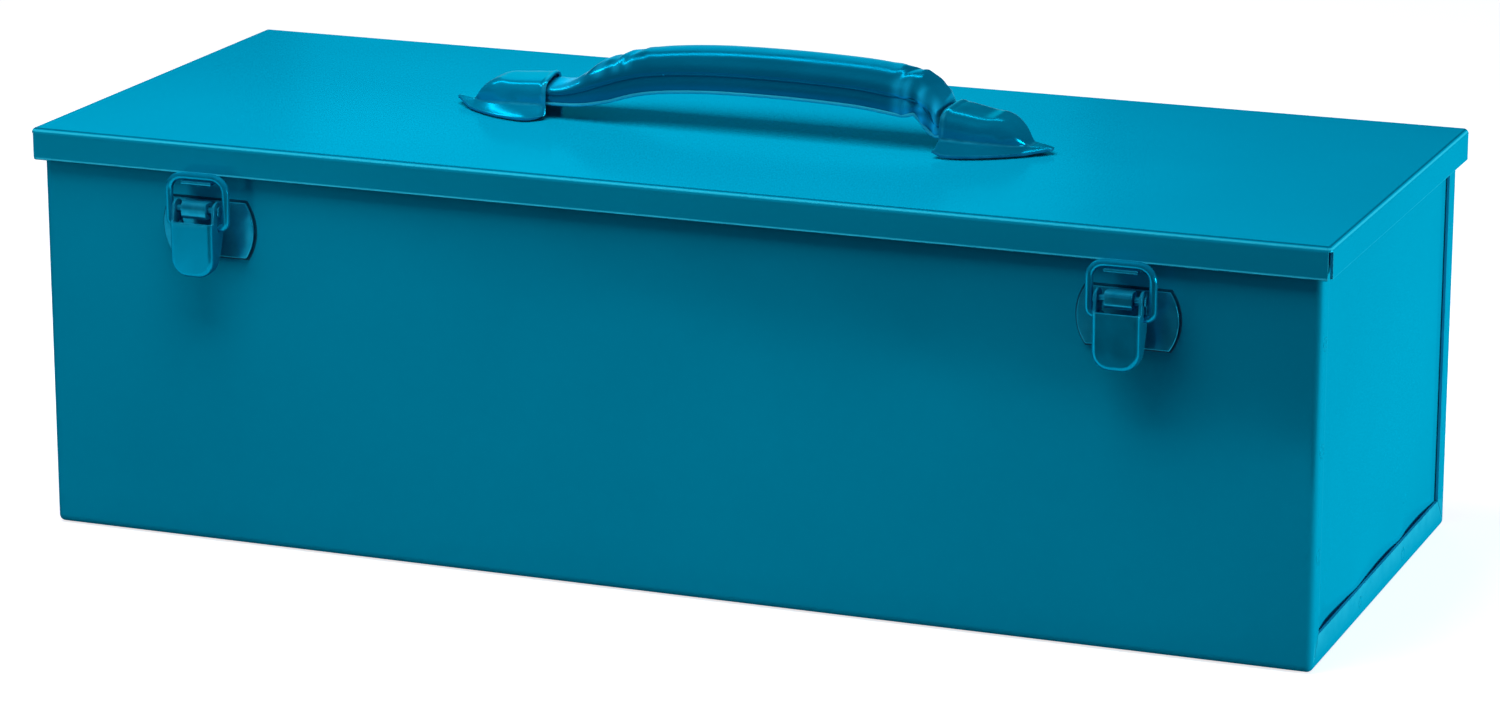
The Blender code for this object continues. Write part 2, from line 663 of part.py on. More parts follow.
def handle_path():
    """Corner points of the strap's middle line, left foot to right foot."""
    foot = FIT_GAP + CORE_SHEET / 2
    into_cap = list(CAP_END) + [(reach, foot) for reach in FOOT_REACH]
    points = [(-CAP_MOUTH_X - reach, rise) for reach, rise in reversed(into_cap)]
    points += [(reach - CAP_MOUTH_X, rise) for reach, rise in ARCH_LEFT]
    points += list(ARCH_MIDDLE)
    points += [(CAP_MOUTH_X - reach, rise) for reach, rise in reversed(ARCH_RIGHT)]
    points += [(CAP_MOUTH_X + reach, rise) for reach, rise in into_cap]
    return [Vector((x, 0, CASE_HEIGHT + rise)) for x, rise in points]


def smooth_path(corners, steps):
    """A smooth curve through the corners, with its direction at each point."""
    points = []
    padded = [corners[0]] + corners + [corners[-1]]
    for a, b, c, d in zip(padded, padded[1:], padded[2:], padded[3:]):
        for step in range(steps):
            t = step / steps
            slope = c - a
            bow = 2 * a - 5 * b + 4 * c - d
            twist = 3 * b - a - 3 * c + d
            place = b + (slope * t + bow * t * t + twist * t ** 3) / 2
            lean = slope + bow * 2 * t + twist * 3 * t * t
            points.append((place, lean.normalized()))
    points.append((corners[-1], (corners[-1] - corners[-2]).normalized()))
    return points


def strap_ring(place, direction, width, side, crown, crown_rounding):
    """A section across the strap's path: square sides below its seam and a rounded crown above."""
    up = Vector((-direction.z, 0, direction.x))
    seam = (side - crown) / 2
    ring = []
    for step in range(ROUND_STEPS):
        angle = math.tau * step / ROUND_STEPS
        height, rounding = (crown, crown_rounding) if step < ROUND_STEPS / 2 else (-side, SIDE_ROUNDING)
        across = math.copysign(abs(math.cos(angle)) ** (2 / rounding), math.cos(angle))
        above = abs(math.sin(angle)) ** (2 / rounding)
        ring.append(place + Vector((0, across * width / 2, 0)) + up * (seam + above * height))
    return ring


def handle_cover():
    """The vinyl cover: flat at its ends and swollen to the grip, with a bore for the steel band."""
    end_x = CAP_MOUTH_X + COVER_REACH
    form = bmesh.new()
    outer = []
    bore = []
    for place, direction in smooth_path(handle_path(), 2):
        if abs(place.x) > end_x + 0.01 * MM:
            continue
        left = (place.x - GRIP_LEFT[0]) / (GRIP_LEFT[1] - GRIP_LEFT[0])
        right = (GRIP_RIGHT[0] - place.x) / (GRIP_RIGHT[0] - GRIP_RIGHT[1])
        swell = blend(left) * blend(right)
        width = STRAP_WIDTH + (GRIP_WIDTH - STRAP_WIDTH) * swell
        side = STRAP_SIDE + (GRIP_SIDE - STRAP_SIDE) * swell
        crown = STRAP_CROWN + (GRIP_CROWN - STRAP_CROWN) * swell
        ring = strap_ring(place, direction, width, side, crown, CROWN_ROUNDING)
        outer.append([form.verts.new(point) for point in ring])
        bore_half = CORE_SHEET / 2 + FIT_GAP
        ring = strap_ring(place, direction, CORE_WIDTH + 4 * FIT_GAP, bore_half, bore_half, SIDE_ROUNDING)
        bore.append([form.verts.new(point) for point in ring])
    shell = outer + bore[::-1] + outer[:1]
    for row, following in zip(shell, shell[1:]):
        for index in range(ROUND_STEPS):
            ahead = (index + 1) % ROUND_STEPS
            form.faces.new((row[index], row[ahead], following[ahead], following[index]))
    mesh = bmesh_to_mesh("handle_cover", form)
    shade_round(mesh)
    return add_piece("handle_cover", mesh, VINYL)


def handle_core():
    """The steel band inside the cover, bent down to a foot on the lid under each cap."""
    path = [(point.x, point.z) for point, direction in smooth_path(handle_path(), 2)]
    mesh = strip_mesh("handle_core", path, CORE_WIDTH, FRONT_PLANE)
    core = add_piece("handle_core", mesh, STEEL)
    thicken(core, CORE_SHEET, 0)
    return core


def hang_on(carrier_name, place, pieces):
    """An empty on a joint's axis, which carries the pieces that move with it."""
    carrier = bpy.data.objects.new(carrier_name, None)
    carrier.location = place
    PARTS.objects.link(carrier)
    for piece in pieces:
        piece.parent = carrier
        piece.matrix_parent_inverse = Matrix.Translation(-Vector(place))


def build():
    body_trough()
    lid_pieces = [lid_pan(), handle_cover(), handle_core()]
    for prefix, side in (("left", -1), ("right", 1)):
        end_panel(prefix + "_end_panel", side)
        latch_base(prefix + "_latch_base", side * LATCH_X)
        latch_pin(prefix + "_latch_pin", side * LATCH_X)
        latch_lever(prefix + "_latch_lever", side * LATCH_X)
        latch_loop(prefix + "_latch_loop", side * LATCH_X)
        lid_pieces.append(keeper(prefix + "_keeper", side * LATCH_X))
        lid_pieces.append(hinge(prefix, side * HINGE_X))
        lid_pieces.append(handle_cap(prefix + "_handle_cap", side))
    hang_on("lid_axis", (0, HINGE_Y, HINGE_Z), lid_pieces)


build()
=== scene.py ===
import json
import math

import bmesh
import bpy
from mathutils import Matrix, Vector, noise


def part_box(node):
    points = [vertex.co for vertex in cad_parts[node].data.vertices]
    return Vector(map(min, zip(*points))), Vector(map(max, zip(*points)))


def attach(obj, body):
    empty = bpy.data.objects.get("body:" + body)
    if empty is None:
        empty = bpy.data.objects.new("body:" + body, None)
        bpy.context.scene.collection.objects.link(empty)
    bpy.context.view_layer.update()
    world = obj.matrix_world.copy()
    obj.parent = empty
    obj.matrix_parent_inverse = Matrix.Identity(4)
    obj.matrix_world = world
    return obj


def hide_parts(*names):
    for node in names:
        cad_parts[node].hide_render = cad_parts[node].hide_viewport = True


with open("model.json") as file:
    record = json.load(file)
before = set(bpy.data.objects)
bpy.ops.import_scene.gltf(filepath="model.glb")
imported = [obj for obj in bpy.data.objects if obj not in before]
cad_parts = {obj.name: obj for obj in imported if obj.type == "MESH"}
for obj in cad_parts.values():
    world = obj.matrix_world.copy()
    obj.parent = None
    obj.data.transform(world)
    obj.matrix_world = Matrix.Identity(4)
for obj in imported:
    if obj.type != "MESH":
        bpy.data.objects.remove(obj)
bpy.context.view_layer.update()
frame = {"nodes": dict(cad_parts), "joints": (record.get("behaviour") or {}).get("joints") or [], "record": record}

MM = 0.001


def mm(*values):
    """Lengths given in millimetres."""
    return tuple(value * MM for value in values)


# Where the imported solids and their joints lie
LID_LOW, LID_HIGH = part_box("lid_pan")
CASE_LOW, CASE_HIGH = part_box("body_trough")
PIVOTS = {joint["name"]: Vector(joint["pos_m"]) for joint in frame["joints"]}
BODIES = frame["record"]["behaviour"]["bodies"]
BODY_OF = {node: body for body, nodes in BODIES.items() for node in nodes}
LID_TOP = LID_HIGH.z

# Sheet metal
SHEET = 1.0 * MM
CUT_EDGE = 0.36 * MM
LID_BEND = 2.0 * MM
BODY_BEND = 2.5 * MM
FRONT_FLANGE = 7.5 * MM
BACK_FLANGE = 10.5 * MM
BOTTOM_FLANGE = 12 * MM
MITRE_SLIT = 0.4 * MM
HEM_HEIGHT = 8 * MM
HEM_ROUND = 1.05 * MM
HEM_SETBACK = 6.5 * MM
NOTCH_ALONG = 1.2 * MM
NOTCH_ACROSS = 2.0 * MM
EDGE_LINE = 0.45 * MM
EDGE_FLARE = 0.25 * MM

# How finely the sheets are divided, and which turns count as sharp
GRID_STEP = 9 * MM
FLANGE_STEP = GRID_STEP / 3
PANEL_ROW = 3.5 * MM
PANEL_COLUMN = 4 * MM
BEND_STEPS = 6
BEND_GUARD = 0.4 * MM
EASE_STEPS = 2
NORMAL_WEIGHT = 100
TOUCH = 0.001 * MM
MERGE = 5 * TOUCH
LEVEL_TURN = math.radians(1)
SHARP_TURN = math.radians(45)
CUT_TURN = math.radians(50)
PRESSED_TURN = math.radians(60)
SQUARE_TURN = math.radians(60)

# How far thin sheet sinks between its stiff edges; a share is a middle value and its swing
LID_SAG = 0.35 * MM
FRONT_SAG = 0.3 * MM
FLANGE_SAG = 0.22 * MM
SAG_REACH = 30 * MM
SAG_WANDER = 9
SAG_SHARE = (0.55, 0.45)
PANEL_GAPE = 1.3 * MM
GAPE_TOP = 34 * MM
GAPE_WANDER = 45
GAPE_START = 0.4
GAPE_SHARE = (0.75, 0.5)
WELD_PINCH = 10 * MM
BOTTOM_WELDS = mm(-84, -29, 31, 84)

# Spot welds; rises and rows are shares of the case's height and of a hinge leaf's width
WELD_DIAMETER = 3.6 * MM
WELD_HEIGHT = 0.035 * MM
WELD_BEAD = WELD_DIAMETER / 6
WELD_SIZES = (0.85, 1.15)
WELD_SIDES = 24
BEAD_SIDES = 8
UPRIGHT_WELDS = (CASE_LOW.y + 0.62 * FRONT_FLANGE, CASE_HIGH.y - 0.6 * BACK_FLANGE)
UPRIGHT_RISES = (0.27, 0.52, 0.77)
BOTTOM_WELD_RISE = 0.55 * BOTTOM_FLANGE
LEAF_FACE = 1.5 * MM
BODY_LEAF_ROW = (0.14, 0.38, 0.62, 0.86)
BODY_LEAF_RISE = 5 * MM
LID_LEAF_ROW = (0.2, 0.5, 0.8)
LID_LEAF_DROP = 3 * MM

# Toggle latches
LATCH_SOFT = 0.3 * MM
PLATE_WIDTH = 36.2 * MM
PLATE_HEIGHT = 20.6 * MM
PLATE_DROP = 8.6 * MM
PLATE_STEPS = 16
JOINT_WIDTH = 0.8 * MM
JOINT_SHOULDER = 0.7 * JOINT_WIDTH
JOINT_RISE = 0.08 * MM
TONGUE_REACH = 6 * MM
TONGUE_GROWTH = 1.1
TONGUE_SQUARING = 5
LEVER_WIDTH = 17 * MM
LEVER_SHEET = 1.0 * MM
LEVER_BEND = 1.8 * MM
LEVER_FACE = 5.8 * MM
LEVER_LENGTH = 24 * MM
LEVER_TOP = 3.9 * MM
LEVER_TIP = 6.4 * MM
LEVER_ROW = 2 * MM
TIP_DEPTH = 4 * MM
WALL_STRAIGHT = 10 * MM
WALL_ROWS = (0.3, 0.65, 1)
EAR_RADIUS = 3.6 * MM
EAR_TURN = 150
EAR_STEPS = 14
PIN_HOLE = 1.6 * MM
WIRE_HOLE = 1.7 * MM
HOLE_SIDES = 24
WIRE = 2.8 * MM
WIRE_SIDES = 20
WIRE_END = 1.1 * MM
LOOP_CLEAR = 1.4 * MM
LOOP_CORNER = 5.5 * MM
LOOP_FOOT = 2.4 * MM
LOOP_RISE = 18.2 * MM
CORNER_STEPS = 10

# Handle caps, from the mouth at the strap to the tip
CAP_MOUTH_X = 78 * MM
CAP_LENGTH = 38.4 * MM
CAP_SHEET = 1.0 * MM
CAP_GAP = 0.3 * MM
CAP_EDGE_RISE = CAP_GAP + 1.15 * CAP_SHEET
CAP_RINGS = 56
BRIM_TIP = 2 * MM
BRIM_RISE = 5.2 * MM
BRIM_TAPER = 1.7
BRIM_CURVE = 1.3
BRIM_STEPS = 12
BRIM_POINTS = 8
DOME_NOSE = 30.5 * MM
NOSE_START = 17 * MM
NOSE_FALL = 2.2
DOME_ROUNDING = 4
DOME_LEAST = 0.45
DOME_STEPS = 60
DOME_POINTS = 47
MOUTH_RIM = 2.4 * MM
RIM_BULGE = 0.45 * MM
TIP_LIFT_START = 0.72 * CAP_LENGTH
TIP_LIFT_REACH = 0.28 * CAP_LENGTH
CORNER_REACH = 4 * MM
SKEW_REACH = 0.8 * CAP_LENGTH
DENT_LENGTH = 2.2 * MM
DENT_HEIGHT = 2.4 * MM
DENT_DEPTH = 0.5 * MM
LEFT_CAP = {"side": -1, "brim_width": 43.6 * MM, "brim_mouth": 30 * MM, "brim_peak": 8 * MM,
            "dome_width": 28.4 * MM, "dome_rise": 13.2 * MM, "dome_fall": 0.8 * MM, "skew": 0.2,
            "tip_lift": 1.6 * MM, "corner_lift": 0, "dents": (mm(12, 8), mm(16.5, 9.5))}
RIGHT_CAP = {"side": 1, "brim_width": 44.4 * MM, "brim_mouth": 43 * MM, "brim_peak": 5 * MM,
             "dome_width": 28.4 * MM, "dome_rise": 15.2 * MM, "dome_fall": 2.2 * MM, "skew": 0,
             "tip_lift": 0.8 * MM, "corner_lift": 1.4 * MM, "dents": (mm(22, 9),)}

# Strap handle; a path point is its way along X and its rise above the lid
STRAP_WIDTH = 24 * MM
STRAP_SIDE = 4.5 * MM
STRAP_CROWN = 2.2 * MM
GRIP_WIDTH = 26.8 * MM
GRIP_SIDE = 7.4 * MM
GRIP_CROWN = 7.36 * MM
GRIP_LEFT = mm(-75, -50)
GRIP_RIGHT = mm(78, 63)
CROWN_ROUNDING = 2.4
CROWN_STEPS = 48
CROWN_POINTS = 41
LOWER_CORNER = 1.5 * MM
LOWER_STEPS = 5
SEAM_GROOVE = 0.35 * MM
CORE_SHEET = 1.6 * MM
COVER_REACH = 5 * MM
PATH_STEPS = 9
CAP_END = (mm(3.5, 8), mm(10, 5))
FOOT_REACH = mm(16.5, 27)
ARCH_LEFT = (mm(4, 8.1), mm(10, 9), mm(16, 10.9), mm(26, 15), mm(36.5, 18.3))
ARCH_MIDDLE = (mm(-30, 20.3), mm(-12, 21.7), mm(8, 22.1), mm(28, 21.9))
ARCH_RIGHT = (mm(1.5, 8.5), mm(3.5, 10.6), mm(5.5, 14), mm(8, 17), mm(12, 18.7), mm(20, 19.9), mm(32, 21.2))
PIPING = 1.3 * MM
PIPING_SIDES = 12
PIPING_SINK = 0.2 * PIPING
PIPING_RISE = 0.45 * PIPING
PIPING_REACH = 2 * MM
SEAM_BEAD = 0.7 * MM
SEAM_SIDES = 10
SEAM_SINK = 0.25 * SEAM_BEAD
# Creases pressed into the cover's top: place along X, half width, height and slant
CREASES = ((*mm(-60, 1.6, -0.25), 0.1), (*mm(-54, 2.4, 0.35), 0.35), (*mm(-48.5, 1.3, -0.45), -0.15),
           (*mm(-45.5, 1.2, 0.4), 0.12), (*mm(-42, 1.1, -0.4), 0.25), (*mm(-38, 2.0, 0.25), -0.3),
           (*mm(58, 2.2, 0.3), -0.3), (*mm(62, 1.4, -0.45), 0.2), (*mm(66, 1.2, 0.45), -0.12),
           (*mm(69.5, 1.1, -0.5), 0.15), (*mm(72.5, 1.0, 0.4), -0.1))
CREASE_SLOPE = 1.4
# Folds down the cover's front where it bends to the right cap: place along X, half width, height
SIDE_FOLDS = (mm(63.5, 1.5, 0.5), mm(67, 1.2, -0.6), mm(70.5, 1.3, 0.7), mm(73.5, 1.0, -0.5),
              mm(76, 1.1, 0.6))
FRONT_START = 0.375
# Where the vinyl gets a painted sheen, a painted highlight, on its top and down the folds of its front: place
# along X, half width, amount
SHEEN_TOP = ((*mm(-69, 8), 0.85), (*mm(-53.5, 2.2), 0.6), (*mm(-47, 1.5), 0.55), (*mm(-42.5, 1.3), 0.4),
                 (*mm(76, 4.5), 0.3))
SHEEN_FRONT = ((*mm(61.5, 2.0), 0.5), (*mm(65, 1.2), 0.6), (*mm(70.5, 1.2), 0.8), (*mm(75.5, 1.2), 0.6),
                   (*mm(77, 4), 0.28))
SHEEN_SLOPE = 2.6
SHEEN_START = 0.6

# Paint and vinyl: pairs are two shades that cloud into each other
ENAMEL = ((0.0, 0.32, 0.505), (0.0, 0.35, 0.545))
ENAMEL_BEND_PAINTED_SHADE = (0.0, 0.15, 0.25)
ENAMEL_BEND_PAINTED_HIGHLIGHT = (0.02, 0.56, 0.77)
ENAMEL_EDGE_WEAR_AND_HIGHLIGHT = (0.03, 0.56, 0.76)
PLATE = ((0.0, 0.25, 0.415), (0.0, 0.29, 0.475))
# A darker copy of the plate lacquer: painted shade for the right handle cap
PLATE_PAINTED_SHADE = ((0.0, 0.175, 0.295), (0.0, 0.205, 0.34))
PLATE_EDGE_WEAR_AND_HIGHLIGHT = (0.03, 0.5, 0.7)
# The dark ring round each latch plate is painted shade
JOINT_PAINTED_SHADE = ((0.0, 0.045, 0.09), (0.0, 0.08, 0.15))
VINYL = ((0.0, 0.15, 0.26), (0.0, 0.175, 0.3))
# The piping's paler vinyl is a painted highlight along the cover's lower edges
PIPING_PAINTED_HIGHLIGHT = ((0.02, 0.5, 0.68), (0.03, 0.6, 0.8))
VINYL_PAINTED_SHEEN = (0.01, 0.6, 0.95)
MILL_STEEL = ((0.38, 0.38, 0.39), (0.52, 0.52, 0.53))
PAINT_TINT = (0.0, 0.8, 0.9, 1)
VINYL_TINT = (0.0, 0.8, 1.0, 1)
PATTERN_RANGE = (0.3, 0.7)
# The lean of a bend's surface, 1 for level and 0 for upright, between which the bend gets a painted shade line and
# a painted highlight
BEND_SHADE_LEAN = (0.8, 0.975)
BEND_HIGHLIGHT_LEAN = (0.38, 0.68)
BAND_SOFT = 0.02
# The turn of an edge, in degrees, at which its paint starts to wear and to be painted pale as a highlight, and the
# further turn to full wear and highlight
WEAR_AND_HIGHLIGHT_START = 16
WEAR_AND_HIGHLIGHT_SPAN = 12

# Studio
CAMERA_PLACE = Vector((0.6619, -1.6879, 0.5637))
CAMERA_TURN = math.radians(21.411)
CAMERA_RISE = math.radians(15.35)
CAMERA_LENS = 122.03
CAMERA_SENSOR = 36
ROOM_COLOUR = (0.7, 0.86, 1.3, 1)
ROOM_LEVEL = 0.145
MATT = 0.9
FLOOR_WHITE = 0.9
FLOOR_BOUNCE = 0.08
FLOOR_GLOW = 0.74
FLOOR_HALF = (6, 6)
FLOOR_DROP = 0.5 * MM
DARK_ROOM_SHADE = (0.02, 0.02, 0.02, 1)
DARK_ROOM_HALF = (3, 0.8)
TABLE_EDGE = 1.42
# Each light's name, place, aim, width and height, power in watts, and the surfaces that it works on
LIGHTS = (("top_light", (-0.08, -0.22, 0.72), (-0.08, -0.06, 0.15), (0.5, 0.55), 4.6, "matt"),
          ("left_fill", (-0.75, -0.75, 0.35), (-0.15, -0.09, 0.08), (0.5, 0.5), 0.72, "matt"),
          ("right_light", (1.5, 0.15, 0.16), (0.2, 0, 0.07), (0.9, 0.3), 17, "all"),
          ("back_panel", (-0.68, 1.6, 0.6), (-0.68, 0, 0.6), (0.6, 0.9), 2.2, "all"),
          ("bend_strip", (-0.5, 0.69, 0.98), (-0.1, 0, 0.15), (1.5, 0.1), 4.2, "mirrors"))


def clamped(value):
    """The value, held between 0 and 1."""
    return min(max(value, 0), 1)


def smooth_step(value):
    """Eases in and out from 0 to 1."""
    share = clamped(value)
    return share * share * (3 - 2 * share)


def wander(point, middle, swing):
    """A value that changes slowly from place to place."""
    return middle + swing * noise.noise(point)


def spread(low, high, step):
    """Even places between two ends, about a step apart, without the ends."""
    count = max(round((high - low) / step), 1)
    return [low + (high - low) * index / count for index in range(1, count)]


def arc(centre, radius, start, end, steps):
    """Points on an arc, with its angles in degrees."""
    points = []
    for step in range(steps + 1):
        angle = math.radians(start + (end - start) * step / steps)
        points.append((centre[0] + radius * math.cos(angle), centre[1] + radius * math.sin(angle)))
    return points


def squared_arch(half, rise, rounding, steps):
    """Points over an arch from one side to the other, the squarer the higher its rounding."""
    points = []
    for step in range(steps + 1):
        angle = math.pi * step / steps
        across = math.copysign(abs(math.cos(angle)) ** (2 / rounding), math.cos(angle))
        points.append((half * across, rise * abs(math.sin(angle)) ** (2 / rounding)))
    return points


def rounded(corners, steps):
    """An open outline through corners (a, b, radius), each rounded with its own radius."""
    points = []
    for index, (a, b, radius) in enumerate(corners):
        if radius == 0:
            points.append((a, b))
            continue
        here = Vector((a, b))
        back = (Vector(corners[index - 1][:2]) - here).normalized()
        ahead = (Vector(corners[index + 1][:2]) - here).normalized()
        half = back.angle(ahead) / 2
        centre = here + (back + ahead).normalized() * radius / math.sin(half)
        first = here + back * radius / math.tan(half) - centre
        last = here + ahead * radius / math.tan(half) - centre
        start = math.atan2(first.y, first.x)
        turn = math.remainder(math.atan2(last.y, last.x) - start, math.tau)
        points += arc(centre, radius, math.degrees(start), math.degrees(start + turn), steps)
    return points


def resampled(points, count):
    """The same line with this many points, evenly spaced along it."""
    points = [Vector(point) for point in points]
    lengths = [0]
    for start, end in zip(points, points[1:]):
        lengths.append(lengths[-1] + (end - start).length)
    line = []
    index = 0
    for step in range(count):
        reached = lengths[-1] * step / (count - 1)
        while index < len(points) - 2 and lengths[index + 1] < reached:
            index += 1
        span = lengths[index + 1] - lengths[index]
        share = (reached - lengths[index]) / span if span else 0
        line.append(points[index].lerp(points[index + 1], clamped(share)))
    return line


def loft(rings, closed):
    """A surface through rings of points, each joined to the next, and its rows of vertices."""
    form = bmesh.new()
    rows = [[form.verts.new(point) for point in ring] for ring in rings]
    for row, following in zip(rows, rows[1:]):
        count = len(row) if closed else len(row) - 1
        for index in range(count):
            ahead = (index + 1) % len(row)
            form.faces.new((row[index], row[ahead], following[ahead], following[index]))
    return form, rows


def add_block(form, low, high):
    """A box between two corners."""
    size = [b - a for a, b in zip(low, high)]
    middle = [(a + b) / 2 for a, b in zip(low, high)]
    place = Matrix.Translation(middle) @ Matrix.Diagonal((*size, 1))
    bmesh.ops.create_cube(form, size=1, matrix=place)


def cut_plane(form, point, normal, faces):
    """New edges where a plane crosses these faces."""
    parts = set(faces)
    for face in faces:
        parts.update(face.edges)
        parts.update(face.verts)
    bmesh.ops.bisect_plane(form, geom=list(parts), plane_co=point, plane_no=normal, dist=TOUCH)


def cut_across(form, axis, places):
    """Edge loops across the whole form, square to an axis."""
    normal = Vector((0, 0, 0))
    normal[axis] = 1
    for place in places:
        cut_plane(form, normal * place, normal, form.faces[:])


def drop_faces(form, unwanted):
    """Opens the form where a face is unwanted."""
    form.normal_update()
    bmesh.ops.delete(form, geom=[face for face in form.faces if unwanted(face)], context='FACES')


def fold(form, radius):
    """Rounds the square edges of a box into sheet metal bends."""
    form.normal_update()
    square = [edge for edge in form.edges
              if len(edge.link_faces) == 2 and edge.calc_face_angle() > SQUARE_TURN]
    bmesh.ops.bevel(form, geom=square, offset=radius, offset_type='OFFSET', segments=BEND_STEPS,
                    profile=0.5, affect='EDGES')
    form.normal_update()


def sink(form, axis, level, inward, depth, low, high, reach):
    """Lets a flat face sink by up to the depth away from its edges, as thin sheet does."""
    for vert in form.verts:
        if abs(vert.co[axis] - level) > TOUCH:
            continue
        hold = 1
        for other in range(3):
            if other != axis:
                inset = min(vert.co[other] - low[other], high[other] - vert.co[other])
                hold *= smooth_step(inset / reach[other])
        vert.co[axis] += inward * depth * hold * wander(vert.co * SAG_WANDER, *SAG_SHARE)


def turn_hem(form, edges, inward):
    """Turns a sheet's top edge over to the inside and down."""
    offsets = []
    for step in range(1, BEND_STEPS + 1):
        angle = math.pi * step / BEND_STEPS
        offsets.append((HEM_ROUND - HEM_ROUND * math.cos(angle), HEM_ROUND * math.sin(angle)))
    offsets.append((2 * HEM_ROUND, HEM_ROUND - HEM_HEIGHT))
    reached = (0, 0)
    for across, up in offsets:
        made = bmesh.ops.extrude_edge_only(form, edges=edges)["geom"]
        move = inward * (across - reached[0]) + Vector((0, 0, up - reached[1]))
        lip = [part for part in made if isinstance(part, bmesh.types.BMVert)]
        bmesh.ops.translate(form, vec=move, verts=lip)
        edges = [part for part in made if isinstance(part, bmesh.types.BMEdge)]
        reached = (across, up)


def face_outwards(form, outward):
    """Makes all faces agree, with those along the outward direction facing it."""
    bmesh.ops.recalc_face_normals(form, faces=form.faces)
    form.normal_update()
    facing = sum(face.normal.dot(outward) * face.calc_area() for face in form.faces)
    if facing < 0:
        bmesh.ops.reverse_faces(form, faces=form.faces)


def form_to_mesh(name, form):
    """A smooth-shaded mesh of the form, which is freed."""
    mesh = bpy.data.meshes.new(name)
    form.to_mesh(mesh)
    form.free()
    mesh.shade_smooth()
    return mesh


def placed_object(name, data):
    """An object in the scene that holds this mesh, camera or light."""
    holder = bpy.data.objects.new(name, data)
    bpy.context.scene.collection.objects.link(holder)
    return holder


def evaluated_mesh(guide):
    """The plain mesh that an object's modifiers make; the object goes."""
    evaluated = guide.evaluated_get(bpy.context.evaluated_depsgraph_get())
    mesh = bpy.data.meshes.new_from_object(evaluated)
    bpy.data.objects.remove(guide)
    return mesh


def level_faced_mesh(guide):
    """The object's plain mesh, whose flat faces are shaded flat up to their rounded edges."""
    level = guide.modifiers.new("flat_faces", 'WEIGHTED_NORMAL')
    level.weight = NORMAL_WEIGHT
    return evaluated_mesh(guide)


def add_wall(guide, thickness, cut_edge, sharp_turn, even):
    """Gives an open surface its thickness inwards, with its cut edges eased."""
    wall = guide.modifiers.new("thickness", 'SOLIDIFY')
    wall.thickness = thickness
    wall.offset = -1
    wall.use_even_offset = even
    eased = guide.modifiers.new("cut_edges", 'BEVEL')
    eased.width = cut_edge
    eased.segments = EASE_STEPS
    eased.limit_method = 'ANGLE'
    eased.angle_limit = sharp_turn


def sheet_metal(name, form, thickness, cut_edge):
    """The mesh of a sheet of even thickness, folded as the form is."""
    guide = placed_object(name, form_to_mesh(name, form))
    add_wall(guide, thickness, cut_edge, CUT_TURN, True)
    return level_faced_mesh(guide)


def note_edges(mesh):
    """Writes where the surface turns sharply, from 0 to 1, for the paint to read."""
    form = bmesh.new()
    form.from_mesh(mesh)
    turns = []
    for vert in form.verts:
        sharpest = max((edge.calc_face_angle(0) for edge in vert.link_edges), default=0)
        turns.append(smooth_step((math.degrees(sharpest) - WEAR_AND_HIGHLIGHT_START) / WEAR_AND_HIGHLIGHT_SPAN))
    form.free()
    mesh.attributes.new("edge_turn", 'FLOAT', 'POINT').data.foreach_set("value", turns)


def add_piece(name, mesh, finish, slot, body, *nodes):
    """A finished piece that rides on a body and stands for these solids."""
    mesh.name = name
    note_edges(mesh)
    mesh.materials.clear()
    mesh.materials.append(finish)
    piece = placed_object(name, mesh)
    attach(piece, body)
    if nodes:
        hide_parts(*nodes)


